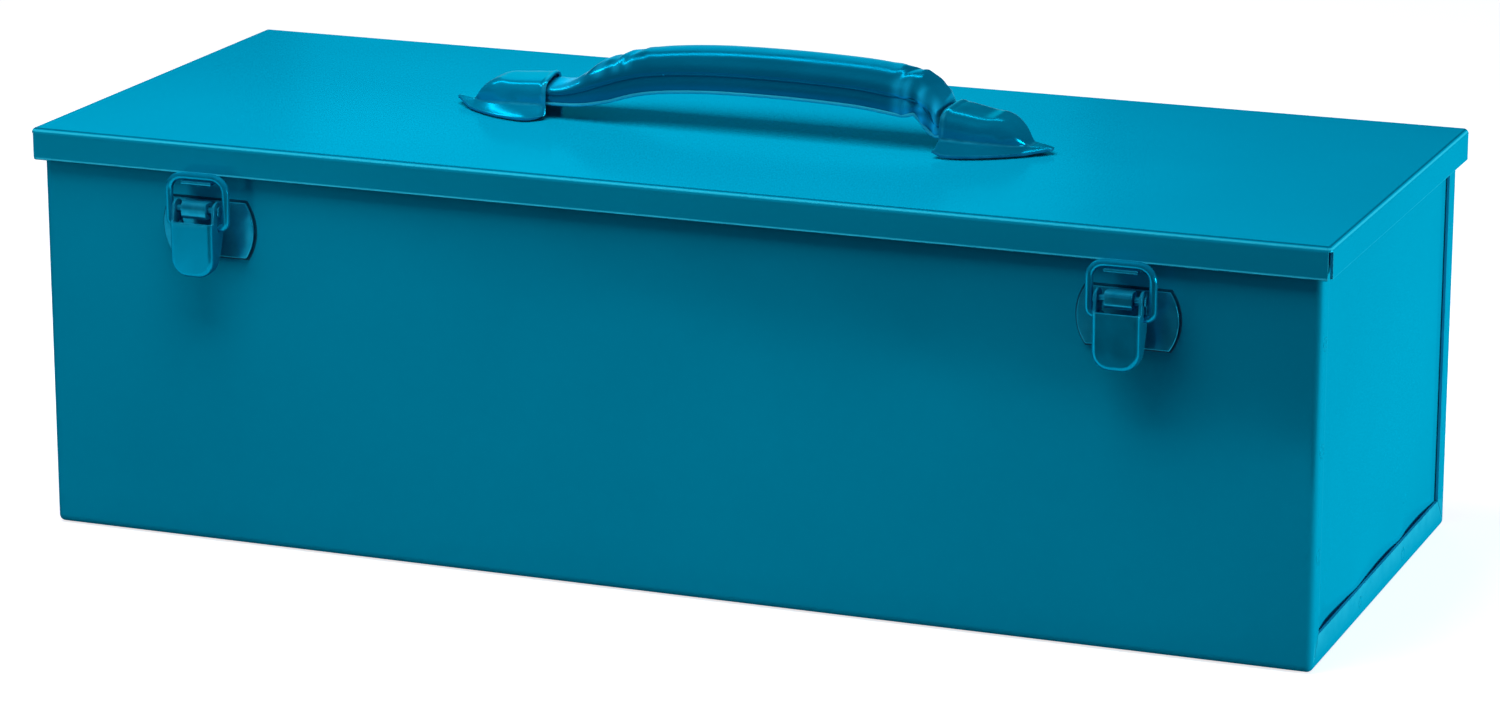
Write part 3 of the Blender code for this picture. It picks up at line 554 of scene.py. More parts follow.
class Finish:
    """A material and the patterns that its shader reads."""

    def __init__(self, name):
        self.material = bpy.data.materials.new(name)
        self.material.use_nodes = True
        self.nodes = self.material.node_tree.nodes
        self.links = self.material.node_tree.links
        self.shader = self.nodes["Principled BSDF"]

    def feed(self, socket, value):
        """Links a socket to a pattern, or sets it to a plain value."""
        if isinstance(value, bpy.types.NodeSocket):
            self.links.new(value, socket)
        else:
            socket.default_value = value

    def set(self, name, value):
        """Feeds one of the shader's own sockets."""
        self.feed(self.shader.inputs[name], value)

    def mirror(self, metallic, tint):
        """A coloured mirror's share of the surface, with no white gloss over it."""
        self.set("Metallic", metallic)
        self.set("Specular IOR Level", 0.0)
        self.set("Specular Tint", tint)

    def combined(self, operation, first, second):
        """Two values worked into one, such as by multiplying them."""
        made = self.nodes.new("ShaderNodeMath")
        made.operation = operation
        self.feed(made.inputs[0], first)
        self.feed(made.inputs[1], second)
        return made.outputs["Value"]

    def mapped(self, value, start, end, low=0, high=1):
        """Maps the values between start and end to those between low and high."""
        made = self.nodes.new("ShaderNodeMapRange")
        for name, limit in (("From Min", start), ("From Max", end), ("To Min", low), ("To Max", high)):
            made.inputs[name].default_value = limit
        self.links.new(value, made.inputs["Value"])
        return made.outputs["Result"]

    def specks(self, scale, detail):
        """A noise pattern on the piece's own coordinates."""
        place = self.nodes.new("ShaderNodeTexCoord")
        pattern = self.nodes.new("ShaderNodeTexNoise")
        pattern.inputs["Scale"].default_value = scale
        pattern.inputs["Detail"].default_value = detail
        self.links.new(place.outputs["Object"], pattern.inputs["Vector"])
        return pattern.outputs["Fac"]

    def clouds(self, scale, detail, low=0, high=1):
        """A noise pattern whose middle range goes from low to high."""
        return self.mapped(self.specks(scale, detail), *PATTERN_RANGE, low, high)

    def attribute(self, name):
        """What the piece's mesh says under this name."""
        made = self.nodes.new("ShaderNodeAttribute")
        made.attribute_name = name
        return made.outputs["Fac"]

    def lean_band(self, limits):
        """1 where the surface's own lean, from 1 for level to 0 for upright, lies between two limits."""
        place = self.nodes.new("ShaderNodeTexCoord")
        parts = self.nodes.new("ShaderNodeSeparateXYZ")
        self.links.new(place.outputs["Normal"], parts.inputs["Vector"])
        lean = parts.outputs["Z"]
        above = self.mapped(lean, limits[0] - BAND_SOFT, limits[0] + BAND_SOFT)
        below = self.mapped(lean, limits[1] + BAND_SOFT, limits[1] - BAND_SOFT)
        return self.combined('MULTIPLY', above, below)

    def mix(self, share, first, second):
        """The first colour, giving way to the second."""
        made = self.nodes.new("ShaderNodeMix")
        made.data_type = 'RGBA'
        colours = [socket for socket in made.inputs if socket.type == 'RGBA']
        for socket, value in zip(colours, (first, second)):
            self.feed(socket, value if isinstance(value, bpy.types.NodeSocket) else (*value, 1))
        self.links.new(share, made.inputs["Factor"])
        return next(socket for socket in made.outputs if socket.type == 'RGBA')

    def bump(self, height, distance, strength, below=None):
        """Fine relief that follows a pattern, over any relief below it."""
        made = self.nodes.new("ShaderNodeBump")
        made.inputs["Distance"].default_value = distance
        made.inputs["Strength"].default_value = strength
        self.links.new(height, made.inputs["Height"])
        if below:
            self.links.new(below, made.inputs["Normal"])
        return made.outputs["Normal"]


def teal_enamel():
    """Gloss sheet-metal enamel: faint clouds, orange peel, a painted shade line and a painted highlight along each
    bend, and edges both worn and painted pale as a highlight.
    """
    paint = Finish("teal_enamel")
    body_colour = paint.mix(paint.clouds(scale=7, detail=3), *ENAMEL)
    # Painted shade: a dark line where each bend starts to turn down from level, picked out by the surface's lean
    bend_shaded = paint.mix(paint.lean_band(BEND_SHADE_LEAN), body_colour, ENAMEL_BEND_PAINTED_SHADE)
    # Painted highlight: a pale line on the crest of each bend
    bend_highlighted = paint.mix(paint.lean_band(BEND_HIGHLIGHT_LEAN), bend_shaded, ENAMEL_BEND_PAINTED_HIGHLIGHT)
    patches = paint.clouds(scale=160, detail=4, low=0.4, high=0.9)
    # Sharp edges are worn and also painted pale as a highlight line
    worn_and_highlit = paint.combined('MULTIPLY', paint.attribute("edge_turn"), patches)
    paint.set("Base Color", paint.mix(worn_and_highlit, bend_highlighted, ENAMEL_EDGE_WEAR_AND_HIGHLIGHT))
    paint.set("Roughness", paint.clouds(scale=22, detail=4, low=0.13, high=0.19))
    peel = paint.specks(scale=620, detail=2)
    paint.set("Normal", paint.bump(peel, distance=0.05 * MM, strength=0.03))
    paint.mirror(metallic=0.105, tint=PAINT_TINT)
    return paint.material


def lacquered_plate(name, shades):
    """Teal lacquer over bright plating on caps, latches and hinges: it mirrors more than the enamel."""
    lacquer = Finish(name)
    body_colour = lacquer.mix(lacquer.clouds(scale=60, detail=3), *shades)
    patches = lacquer.clouds(scale=300, detail=4, low=0.1, high=0.5)
    # Sharp edges are worn and also painted pale as a highlight outline
    worn_and_highlit = lacquer.combined('MULTIPLY', lacquer.attribute("edge_turn"), patches)
    lacquer.set("Base Color", lacquer.mix(worn_and_highlit, body_colour, PLATE_EDGE_WEAR_AND_HIGHLIGHT))
    lacquer.set("Roughness", lacquer.clouds(scale=120, detail=4, low=0.15, high=0.24))
    ripple = lacquer.specks(scale=420, detail=2)
    lacquer.set("Normal", lacquer.bump(ripple, distance=0.05 * MM, strength=0.15))
    lacquer.mirror(metallic=0.5, tint=PAINT_TINT)
    return lacquer.material


def gloss_vinyl(name, shades):
    """The handle's gloss vinyl: fine grain, two shades in slow clouds, and painted paler, as a painted highlight,
    on the strap's top and the right bend's folds.
    """
    vinyl = Finish(name)
    body_colour = vinyl.mix(vinyl.clouds(scale=30, detail=3), *shades)
    vinyl.set("Base Color", vinyl.mix(vinyl.attribute("painted_sheen"), body_colour, VINYL_PAINTED_SHEEN))
    vinyl.set("Roughness", vinyl.clouds(scale=55, detail=3, low=0.19, high=0.28))
    slow = vinyl.bump(vinyl.specks(scale=90, detail=2), distance=0.25 * MM, strength=0.35)
    grain = vinyl.specks(scale=1500, detail=3)
    vinyl.set("Normal", vinyl.bump(grain, distance=0.03 * MM, strength=0.15, below=slow))
    vinyl.mirror(metallic=0.6, tint=VINYL_TINT)
    return vinyl.material


def mottled(name, scale, detail, shades, roughness, relief):
    """A finish whose shade, gloss and relief all follow one fine pattern."""
    finish = Finish(name)
    specks = finish.specks(scale, detail)
    finish.set("Base Color", finish.mix(finish.mapped(specks, *PATTERN_RANGE), *shades))
    finish.set("Roughness", finish.mapped(specks, *PATTERN_RANGE, *roughness))
    finish.set("Normal", finish.bump(specks, distance=relief, strength=0.2))
    return finish


def painted_joint_shade():
    """Painted shade for the joint round a latch plate: a dark, dusty-looking finish that stands for the shadow
    there.
    """
    paint = mottled("painted_joint_shade", scale=350, detail=4, shades=JOINT_PAINTED_SHADE, roughness=(0.35, 0.55),
                    relief=0.04 * MM)
    paint.set("Specular IOR Level", 0.1)
    return paint.material


def bare_steel():
    """Mottled mill steel for the band inside the handle."""
    steel = mottled("mill_steel", scale=220, detail=5, shades=MILL_STEEL, roughness=(0.3, 0.45),
                    relief=0.03 * MM)
    steel.set("Metallic", 1.0)
    return steel.material


def slit_mitres(form, corner_y, inward, flange):
    """A thin slit in both end flanges, from their inner corner towards the case's lower corner."""
    inner = Vector((0, corner_y + inward * flange, BOTTOM_FLANGE))
    corner = Vector((0, corner_y, 0))
    along = (corner - inner).normalized()
    across = Vector((0, -along.z, along.y))
    reach = (corner - inner).length - 2 * BODY_BEND
    half = across * MITRE_SLIT / 2

    def near_corner(face):
        middle = face.calc_center_median()
        return abs(face.normal.x) > 0.99 and middle.y * corner_y > 0 and middle.z < 2 * BOTTOM_FLANGE

    def in_slit(face):
        offset = face.calc_center_median() - inner
        return near_corner(face) and abs(offset.dot(across)) < MITRE_SLIT / 2 and offset.dot(along) < reach

    for point, normal in ((inner + half, across), (inner - half, across), (inner + along * reach, along)):
        form.normal_update()
        cut_plane(form, point, normal, [face for face in form.faces if near_corner(face)])
    drop_faces(form, in_slit)


def body_trough(finish):
    """Front, bottom and back in one bent sheet, flanged round its open ends and hemmed at the rim."""
    form = bmesh.new()
    top = CASE_HIGH.z - HEM_ROUND
    add_block(form, CASE_LOW, (CASE_HIGH.x, CASE_HIGH.y, top))
    front_line = CASE_LOW.y + FRONT_FLANGE
    back_line = CASE_HIGH.y - BACK_FLANGE
    cut_across(form, 1, (front_line, back_line))
    cut_across(form, 2, (2 * BOTTOM_FLANGE, BOTTOM_FLANGE))

    def open_face(face):
        middle = face.calc_center_median()
        in_end = abs(face.normal.x) > 0.5 and front_line < middle.y < back_line
        return face.normal.z > 0.5 or (in_end and middle.z > BOTTOM_FLANGE)

    drop_faces(form, open_face)
    fold(form, BODY_BEND)
    slit_mitres(form, CASE_LOW.y, 1, FRONT_FLANGE)
    slit_mitres(form, CASE_HIGH.y, -1, BACK_FLANGE)
    guard = BODY_BEND + BEND_GUARD
    end = CASE_HIGH.x - guard
    cut_across(form, 0, [-end, end] + spread(-end, end, GRID_STEP))
    cut_across(form, 1, [CASE_LOW.y + guard, CASE_HIGH.y - guard])
    cut_across(form, 1, [front_line - EDGE_LINE, back_line + EDGE_LINE])
    cut_across(form, 2, [guard] + spread(guard, top, GRID_STEP))
    low = Vector((-end, CASE_LOW.y, guard))
    high = Vector((end, CASE_HIGH.y, top))
    reach = (3 * SAG_REACH, SAG_REACH, SAG_REACH)
    sink(form, 1, CASE_LOW.y, 1, FRONT_SAG, low, high, reach)
    sink(form, 1, CASE_HIGH.y, -1, FRONT_SAG, low, high, reach)
    hem_end = end - HEM_SETBACK

    def on_rim(vert, edge_y):
        return abs(vert.co.z - top) < TOUCH and abs(vert.co.y - edge_y) < TOUCH and abs(vert.co.x) < hem_end

    for edge_y, inward in ((CASE_LOW.y, 1), (CASE_HIGH.y, -1)):
        rim = [edge for edge in form.edges if all(on_rim(vert, edge_y) for vert in edge.verts)]
        turn_hem(form, rim, Vector((0, inward, 0)))
    mesh = sheet_metal("body_trough_sheet", form, SHEET, CUT_EDGE)
    add_piece("body_trough_sheet", mesh, finish, "paint", "case", "body_trough")


def panel_gape(y, z):
    """How far the end panel stands in from the bottom flange, between its spot welds."""
    nearest = min(abs(y - weld) for weld in BOTTOM_WELDS)
    between = 1 - math.exp(-(nearest / WELD_PINCH) ** 2)
    low_down = 1 - smooth_step((z - BOTTOM_FLANGE) / GAPE_TOP)
    uneven = wander(Vector((0, y * GAPE_WANDER, GAPE_START)), *GAPE_SHARE)
    return PANEL_GAPE * between * low_down * uneven


def end_panel(prefix, side, finish):
    """A sheet set behind the end flanges, pinched to them at the welds and hemmed at its rim."""
    low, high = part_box(prefix + "_end_panel")
    x = high.x if side > 0 else low.x
    top = high.z - HEM_ROUND
    columns = [low.y] + spread(low.y, high.y, PANEL_COLUMN) + [high.y]
    rings = []
    for z in [low.z] + spread(low.z, top, PANEL_ROW) + [top]:
        rings.append([(x - side * panel_gape(y, z), y, z) for y in columns])
    form = loft(rings, False)[0]
    face_outwards(form, Vector((side, 0, 0)))
    hem_end = high.y - HEM_SETBACK
    rim = [edge for edge in form.edges
           if all(abs(vert.co.z - top) < TOUCH and abs(vert.co.y) < hem_end for vert in edge.verts)]
    turn_hem(form, rim, Vector((-side, 0, 0)))
    mesh = sheet_metal(prefix + "_end_sheet", form, SHEET, CUT_EDGE)
    add_piece(prefix + "_end_sheet", mesh, finish, "paint", "case", prefix + "_end_panel")


def lid_pan(finish):
    """The lid's tray: bent flanges all round, open in a slit at each corner."""
    form = bmesh.new()
    add_block(form, LID_LOW, LID_HIGH)
    drop_faces(form, lambda face: face.normal.z < -0.5)
    fold(form, LID_BEND)
    slit_x = LID_HIGH.x - NOTCH_ALONG
    slit_y = LID_HIGH.y - NOTCH_ACROSS
    slit_top = LID_TOP - LID_BEND
    cut_across(form, 0, (-slit_x, slit_x))
    cut_across(form, 1, (-slit_y, slit_y))
    cut_across(form, 2, (slit_top,))

    def in_notch(face):
        middle = face.calc_center_median()
        return abs(middle.x) > slit_x and abs(middle.y) > slit_y and middle.z < slit_top

    drop_faces(form, in_notch)
    guard = LID_BEND + BEND_GUARD
    end = LID_HIGH.x - guard
    depth = LID_HIGH.y - guard
    cut_across(form, 0, [-end, end] + spread(-end, end, GRID_STEP))
    cut_across(form, 1, [-depth, depth] + spread(-depth, depth, GRID_STEP))
    cut_across(form, 2, [LID_LOW.z + EDGE_LINE, LID_LOW.z + 1.5 * EDGE_LINE, LID_TOP - guard])
    cut_across(form, 2, spread(LID_LOW.z, LID_TOP - guard, FLANGE_STEP))
    reach = (2 * SAG_REACH, SAG_REACH, SAG_REACH)
    sink(form, 2, LID_TOP, -1, LID_SAG, Vector((-end, -depth, 0)), Vector((end, depth, 0)), reach)
    flange_low = Vector((-end, 0, LID_LOW.z - SAG_REACH))
    flange_high = Vector((end, 0, LID_TOP - guard))
    flange_reach = (2 * SAG_REACH, SAG_REACH, LID_HIGH.z - LID_LOW.z)
    sink(form, 1, LID_LOW.y, 1, FLANGE_SAG, flange_low, flange_high, flange_reach)
    for vert in form.verts:
        if abs(vert.co.z - LID_LOW.z) < TOUCH and abs(vert.co.x) < slit_x and vert.co.y < -depth:
            vert.co.y -= EDGE_FLARE
    mesh = sheet_metal("lid_sheet", form, SHEET, CUT_EDGE)
    add_piece("lid_sheet", mesh, finish, "paint", "lid", "lid_pan")


def square_tongue(form, pin):
    """Presses the round roll of a latch base's tongue to the flat-faced box that it is round its pin."""
    for vert in form.verts:
        offset = vert.co - pin
        reach = math.hypot(offset.y, offset.z)
        if PIN_HOLE + MERGE < reach < TONGUE_REACH / 2 and abs(offset.x) < TONGUE_REACH:
            power = abs(offset.y / reach) ** TONGUE_SQUARING + abs(offset.z / reach) ** TONGUE_SQUARING
            grown_by = TONGUE_GROWTH / power ** (1 / TONGUE_SQUARING)
            vert.co = pin + Vector((offset.x, offset.y * grown_by, offset.z * grown_by))


def softened(node, width, finish):
    """A merged copy of a solid with its sharp edges eased, which stands for it."""
    form = bmesh.new()
    form.from_mesh(frame["nodes"][node].data)
    bmesh.ops.remove_doubles(form, verts=form.verts, dist=MERGE)
    bmesh.ops.dissolve_limit(form, angle_limit=LEVEL_TURN, verts=form.verts, edges=form.edges)
    if node.endswith("latch_base"):
        square_tongue(form, PIVOTS[node.replace("latch_base", "lever_pivot")])
    sharp = [edge for edge in form.edges if edge.calc_face_angle(0) > SHARP_TURN]
    bmesh.ops.bevel(form, geom=sharp, offset=width, segments=EASE_STEPS, profile=0.5, affect='EDGES',
                    clamp_overlap=True)
    mesh = level_faced_mesh(placed_object(node, form_to_mesh(node, form)))
    add_piece(node + "_eased", mesh, finish, "paint", BODY_OF[node], node)


def plate_outline(growth):
    """The latch plate's outline about its middle, grown outwards: two arcs, cut flat at top and bottom."""
    radius = PLATE_WIDTH / 2 + growth
    turn = math.degrees(math.asin((PLATE_HEIGHT / 2 + growth) / radius))
    right = arc((0, 0), radius, -turn, turn, PLATE_STEPS)
    return right + arc((0, 0), radius, 180 - turn, 180 + turn, PLATE_STEPS)


def painted_plate_shade(prefix, finish):
    """A thin dark ring on the case front, all round a latch's plate: painted shade where the joint's shadow falls.
    """
    pin = PIVOTS[prefix + "_lever_pivot"]
    section = ((-JOINT_WIDTH, -JOINT_RISE), (JOINT_SHOULDER, -JOINT_RISE), (JOINT_WIDTH, 0),
               (JOINT_WIDTH, SHEET / 2), (-JOINT_WIDTH, SHEET / 2))
    lines = []
    for growth, depth in section:
        outline = plate_outline(growth)
        lines.append([(pin.x + x, CASE_LOW.y + depth, pin.z - PLATE_DROP + z) for x, z in outline])
    form = loft(lines + lines[:1], True)[0]
    bmesh.ops.remove_doubles(form, verts=form.verts, dist=TOUCH)
    bmesh.ops.recalc_face_normals(form, faces=form.faces)
    name = prefix + "_painted_plate_shade"
    add_piece(name, form_to_mesh(name, form), finish, "paint", "case")


def wall_back(z):
    """How far back the lever's side wall reaches at a height below the pin."""
    tip = TIP_DEPTH - LEVER_FACE
    share = (-z - WALL_STRAIGHT) / (LEVER_LENGTH - WALL_STRAIGHT)
    return EAR_RADIUS + (tip - EAR_RADIUS) * clamped(share)


def lever_form():
    """The lever's outer surface about its pin: a face that bends back all round its tip, and two ears."""
    half = LEVER_WIDTH / 2
    side = [-LEVER_TOP] + spread(-LEVER_TOP, LEVER_TIP - LEVER_LENGTH, -LEVER_ROW)
    corners = [(-half, z, 0) for z in side]
    corners += [(-half, -LEVER_LENGTH, LEVER_TIP), (half, -LEVER_LENGTH, LEVER_TIP)]
    corners += [(half, z, 0) for z in reversed(side)]
    outline = [Vector(point) for point in rounded(corners, CORNER_STEPS)]
    rings = []
    for index, point in enumerate(outline):
        before = outline[max(index - 1, 0)]
        after = outline[min(index + 1, len(outline) - 1)]
        run = (after - before).normalized()
        out = Vector((run.y, -run.x))
        if out.dot(point + Vector((0, LEVER_LENGTH / 2))) < 0:
            out = -out
        ring = []
        for step in range(BEND_STEPS + 1):
            angle = math.pi / 2 * step / BEND_STEPS
            place = point - out * LEVER_BEND * (1 - math.sin(angle))
            ring.append((place.x, LEVER_BEND * (1 - math.cos(angle)) - LEVER_FACE, place.y))
        front = LEVER_BEND - LEVER_FACE
        back = wall_back(point.y)
        ring += [(point.x, front + (back - front) * share, point.y) for share in WALL_ROWS]
        rings.append(ring)
    form, rows = loft(rings, False)
    form.faces.new([row[0] for row in rows])
    for row, x in ((rows[0], -half), (rows[-1], half)):
        wall_top = row[BEND_STEPS:]
        ear = [form.verts.new((x, y, z)) for y, z in arc((0, 0), EAR_RADIUS, 0, EAR_TURN, EAR_STEPS)]
        form.faces.new(wall_top + ear)
    face_outwards(form, Vector((0, -1, 0)))
    return form


def drill(name, mesh, holes):
    """Cuts round holes along X through a mesh, each given as (y, z, radius)."""
    guide = placed_object(name, mesh)
    drills = []
    for y, z, radius in holes:
        form = bmesh.new()
        place = Matrix.Translation((0, y, z)) @ Matrix.Rotation(math.pi / 2, 4, 'Y')
        bmesh.ops.create_cone(form, cap_ends=True, segments=HOLE_SIDES, radius1=radius, radius2=radius,
                              depth=2 * LEVER_WIDTH, matrix=place)
        rod = placed_object(name + "_drill", form_to_mesh(name + "_drill", form))
        cut = guide.modifiers.new("hole", 'BOOLEAN')
        cut.object = rod
        drills.append(rod)
    mesh = level_faced_mesh(guide)
    for rod in drills:
        bpy.data.objects.remove(rod)
    return mesh


def latch_lever(prefix, finish):
    """The toggle lever, folded from sheet, with holes for its pin and for the wire's ends."""
    pin = PIVOTS[prefix + "_lever_pivot"]
    wire = PIVOTS[prefix + "_loop_pivot"] - pin
    mesh = sheet_metal(prefix + "_lever_sheet", lever_form(), LEVER_SHEET, LATCH_SOFT)
    mesh = drill(prefix + "_lever_sheet", mesh, ((0, 0, PIN_HOLE), (wire.y, wire.z, WIRE_HOLE)))
    mesh.transform(Matrix.Translation(pin))
    add_piece(prefix + "_lever_sheet", mesh, finish, "paint", prefix + "_lever", prefix + "_latch_lever")


def node_group(name, inputs):
    """An empty Geometry Nodes tree with its geometry sockets and these named inputs."""
    tree = bpy.data.node_groups.new(name, 'GeometryNodeTree')
    tree.interface.new_socket(name="Geometry", in_out='INPUT', socket_type='NodeSocketGeometry')
    for label, kind in inputs:
        tree.interface.new_socket(name=label, in_out='INPUT', socket_type=kind)
    tree.interface.new_socket(name="Geometry", in_out='OUTPUT', socket_type='NodeSocketGeometry')
    return tree


def join(tree, *pairs):
    """Links each output to its input."""
    for output, socket in pairs:
        tree.links.new(output, socket)


def finish_tree(tree, start, made):
    """Ends a tree: realized, smooth and with the finish that its Material input names."""
    realize = tree.nodes.new("GeometryNodeRealizeInstances")
    smooth = tree.nodes.new("GeometryNodeSetShadeSmooth")
    paint = tree.nodes.new("GeometryNodeSetMaterial")
    out = tree.nodes.new("NodeGroupOutput")
    join(tree, (made, realize.inputs["Geometry"]),
         (realize.outputs["Geometry"], smooth.inputs["Geometry"]),
         (smooth.outputs["Geometry"], paint.inputs["Geometry"]),
         (start.outputs["Material"], paint.inputs["Material"]),
         (paint.outputs["Geometry"], out.inputs["Geometry"]))


def scaled(tree, value, factor):
    """A value of the tree times a plain number."""
    times = tree.nodes.new("ShaderNodeMath")
    times.operation = 'MULTIPLY'
    times.inputs[1].default_value = factor
    tree.links.new(value, times.inputs[0])
    return times.outputs["Value"]


def round_bar_tree():
    """A round bar, bead or wire along each path of edges."""
    tree = node_group("round_bar", (("Bar Diameter", 'NodeSocketFloat'), ("Sides", 'NodeSocketInt'),
                                    ("Material", 'NodeSocketMaterial')))
    start = tree.nodes.new("NodeGroupInput")
    path = tree.nodes.new("GeometryNodeMeshToCurve")
    section = tree.nodes.new("GeometryNodeCurvePrimitiveCircle")
    bar = tree.nodes.new("GeometryNodeCurveToMesh")
    bar.inputs["Fill Caps"].default_value = True
    join(tree, (start.outputs["Geometry"], path.inputs["Mesh"]),
         (start.outputs["Sides"], section.inputs["Resolution"]),
         (scaled(tree, start.outputs["Bar Diameter"], 1 / 2), section.inputs["Radius"]),
         (path.outputs["Curve"], bar.inputs["Curve"]),
         (section.outputs["Curve"], bar.inputs["Profile Curve"]))
    finish_tree(tree, start, bar.outputs["Mesh"])
    return tree


def weld_tree():
    """A shallow raised ring at each point, facing the way that the point's facing says."""
    tree = node_group("spot_welds", (("Weld Diameter", 'NodeSocketFloat'),
                                     ("Weld Height", 'NodeSocketFloat'),
                                     ("Seed", 'NodeSocketInt'), ("Material", 'NodeSocketMaterial')))
    start = tree.nodes.new("NodeGroupInput")
    ring = tree.nodes.new("GeometryNodeCurvePrimitiveCircle")
    ring.inputs["Resolution"].default_value = WELD_SIDES
    section = tree.nodes.new("GeometryNodeCurvePrimitiveCircle")
    section.inputs["Resolution"].default_value = BEAD_SIDES
    section.inputs["Radius"].default_value = WELD_BEAD
    mark = tree.nodes.new("GeometryNodeCurveToMesh")
    flat = tree.nodes.new("GeometryNodeTransform")
    squash = tree.nodes.new("ShaderNodeCombineXYZ")
    squash.inputs["X"].default_value = 1
    squash.inputs["Y"].default_value = 1
    facing = tree.nodes.new("GeometryNodeInputNamedAttribute")
    facing.data_type = 'FLOAT_VECTOR'
    facing.inputs["Name"].default_value = "facing"
    aim = tree.nodes.new("FunctionNodeAlignRotationToVector")
    aim.axis = 'Z'
    vary = tree.nodes.new("FunctionNodeRandomValue")
    vary.data_type = 'FLOAT'
    limits = [socket for socket in vary.inputs if socket.type == 'VALUE' and socket.enabled]
    for socket, size in zip(limits, WELD_SIZES):
        socket.default_value = size
    scale = next(socket for socket in vary.outputs if socket.type == 'VALUE')
    place = tree.nodes.new("GeometryNodeInstanceOnPoints")
    join(tree, (scaled(tree, start.outputs["Weld Diameter"], 1 / 2), ring.inputs["Radius"]),
         (ring.outputs["Curve"], mark.inputs["Curve"]),
         (section.outputs["Curve"], mark.inputs["Profile Curve"]),
         (scaled(tree, start.outputs["Weld Height"], 1 / WELD_BEAD), squash.inputs["Z"]),
         (squash.outputs["Vector"], flat.inputs["Scale"]),
         (mark.outputs["Mesh"], flat.inputs["Geometry"]),
         (start.outputs["Geometry"], place.inputs["Points"]),
         (flat.outputs["Geometry"], place.inputs["Instance"]),
         (facing.outputs["Attribute"], aim.inputs["Vector"]),
         (aim.outputs["Rotation"], place.inputs["Rotation"]),
         (start.outputs["Seed"], vary.inputs["Seed"]),
         (scale, place.inputs["Scale"]))
    finish_tree(tree, start, place.outputs["Instances"])
    return tree


def grown(name, tree, mesh, values):
    """The plain mesh that a tree makes of a mesh, with its inputs set by their identifiers."""
    guide = placed_object(name, mesh)
    modifier = guide.modifiers.new(name, 'NODES')
    modifier.node_group = tree
    for socket in tree.interface.items_tree:
        if socket.in_out == 'INPUT' and socket.name in values:
            modifier[socket.identifier] = values[socket.name]
    return evaluated_mesh(guide)


def round_bars(name, tree, paths, diameter, sides, finish):
    """The mesh of a round bar along each open path of points."""
    form = bmesh.new()
    for path in paths:
        line = [form.verts.new(point) for point in path]
        for start, end in zip(line, line[1:]):
            form.edges.new((start, end))
    values = {"Bar Diameter": diameter, "Sides": sides, "Material": finish}
    return grown(name, tree, form_to_mesh(name, form), values)


def latch_loop(prefix, tree, finish):
    """Round wire: in through the lever's walls, up beside it and across above the keeper."""
    foot = PIVOTS[prefix + "_loop_pivot"]
    half = LEVER_WIDTH / 2 + LOOP_CLEAR + WIRE / 2
    end = LEVER_WIDTH / 2 - LEVER_SHEET - WIRE_END
    outline = rounded([(-end, 0, 0), (-half, 0, LOOP_FOOT), (-half, LOOP_RISE, LOOP_CORNER),
                       (half, LOOP_RISE, LOOP_CORNER), (half, 0, LOOP_FOOT), (end, 0, 0)], CORNER_STEPS)
    path = [foot + Vector((along, 0, up)) for along, up in outline]
    name = prefix + "_wire_loop"
    mesh = round_bars(name, tree, [path], WIRE, WIRE_SIDES, finish)
    add_piece(name, mesh, finish, "paint", prefix + "_loop", prefix + "_latch_loop")


def weld_points(name, welds):
    """Points with the way that each weld faces, given as (place, facing)."""
    mesh = bpy.data.meshes.new(name)
    mesh.from_pydata([place for place, facing in welds], [], [])
    attribute = mesh.attributes.new("facing", 'FLOAT_VECTOR', 'POINT')
    for item, (place, facing) in zip(attribute.data, welds):
        item.vector = facing
    return mesh


def leaf_welds(low, high, row, sheet_y, z):
    """A row of welds along a hinge leaf's outer face."""
    return [((low.x + (high.x - low.x) * share, sheet_y + LEAF_FACE, z), (0, 1, 0)) for share in row]


def spot_welds(tree, finish):
    """Weld marks on the end flanges and on the hinge leaves."""
    case = []
    lid = []
    flange_welds = [(y, share * CASE_HIGH.z) for y in UPRIGHT_WELDS for share in UPRIGHT_RISES]
    flange_welds += [(y, BOTTOM_WELD_RISE) for y in BOTTOM_WELDS[1:3]]
    for side in (-1, 1):
        case += [((side * CASE_HIGH.x, y, z), (side, 0, 0)) for y, z in flange_welds]
    for prefix in ("left", "right"):
        low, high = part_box(prefix + "_hinge_body_leaf")
        case += leaf_welds(low, high, BODY_LEAF_ROW, CASE_HIGH.y, low.z + BODY_LEAF_RISE)
        low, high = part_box(prefix + "_hinge_lid_leaf")
        lid += leaf_welds(low, high, LID_LEAF_ROW, LID_HIGH.y, high.z - LID_LEAF_DROP)
    for body, welds, seed in (("case", case, 3), ("lid", lid, 5)):
        name = body + "_spot_welds"
        values = {"Weld Diameter": WELD_DIAMETER, "Weld Height": WELD_HEIGHT, "Seed": seed,
                  "Material": finish}
        mesh = grown(name, tree, weld_points(name, welds), values)
        add_piece(name, mesh, finish, "paint", body)


def cap_sizes(along, cap):
    """The cap at a distance from its mouth: brim and dome half widths, and the rises of its brim and top."""
    width = cap["brim_width"]
    peak = cap["brim_peak"]
    if along < peak:
        brim = width - (width - cap["brim_mouth"]) * (1 - along / peak) ** 2
    else:
        brim = width - (width - BRIM_TIP) * ((along - peak) / (CAP_LENGTH - peak)) ** BRIM_TAPER
    share = clamped((along - peak) / (DOME_NOSE - peak))
    dome = max(cap["dome_width"] * math.sqrt(1 - share * share), DOME_LEAST * brim)
    brim_rise = CAP_EDGE_RISE + (BRIM_RISE - CAP_EDGE_RISE) * (1 - (along / CAP_LENGTH) ** 2)
    crest = cap["dome_rise"] - cap["dome_fall"] * smooth_step(along / NOSE_START)
    fall = clamped((along - NOSE_START) / (DOME_NOSE - NOSE_START))
    dome_rise = brim_rise + (crest - brim_rise) * (1 - fall ** NOSE_FALL)
    bulge = RIM_BULGE * math.sin(math.pi * min(along / MOUTH_RIM, 1))
    return brim / 2, dome / 2 + bulge, brim_rise, dome_rise + bulge


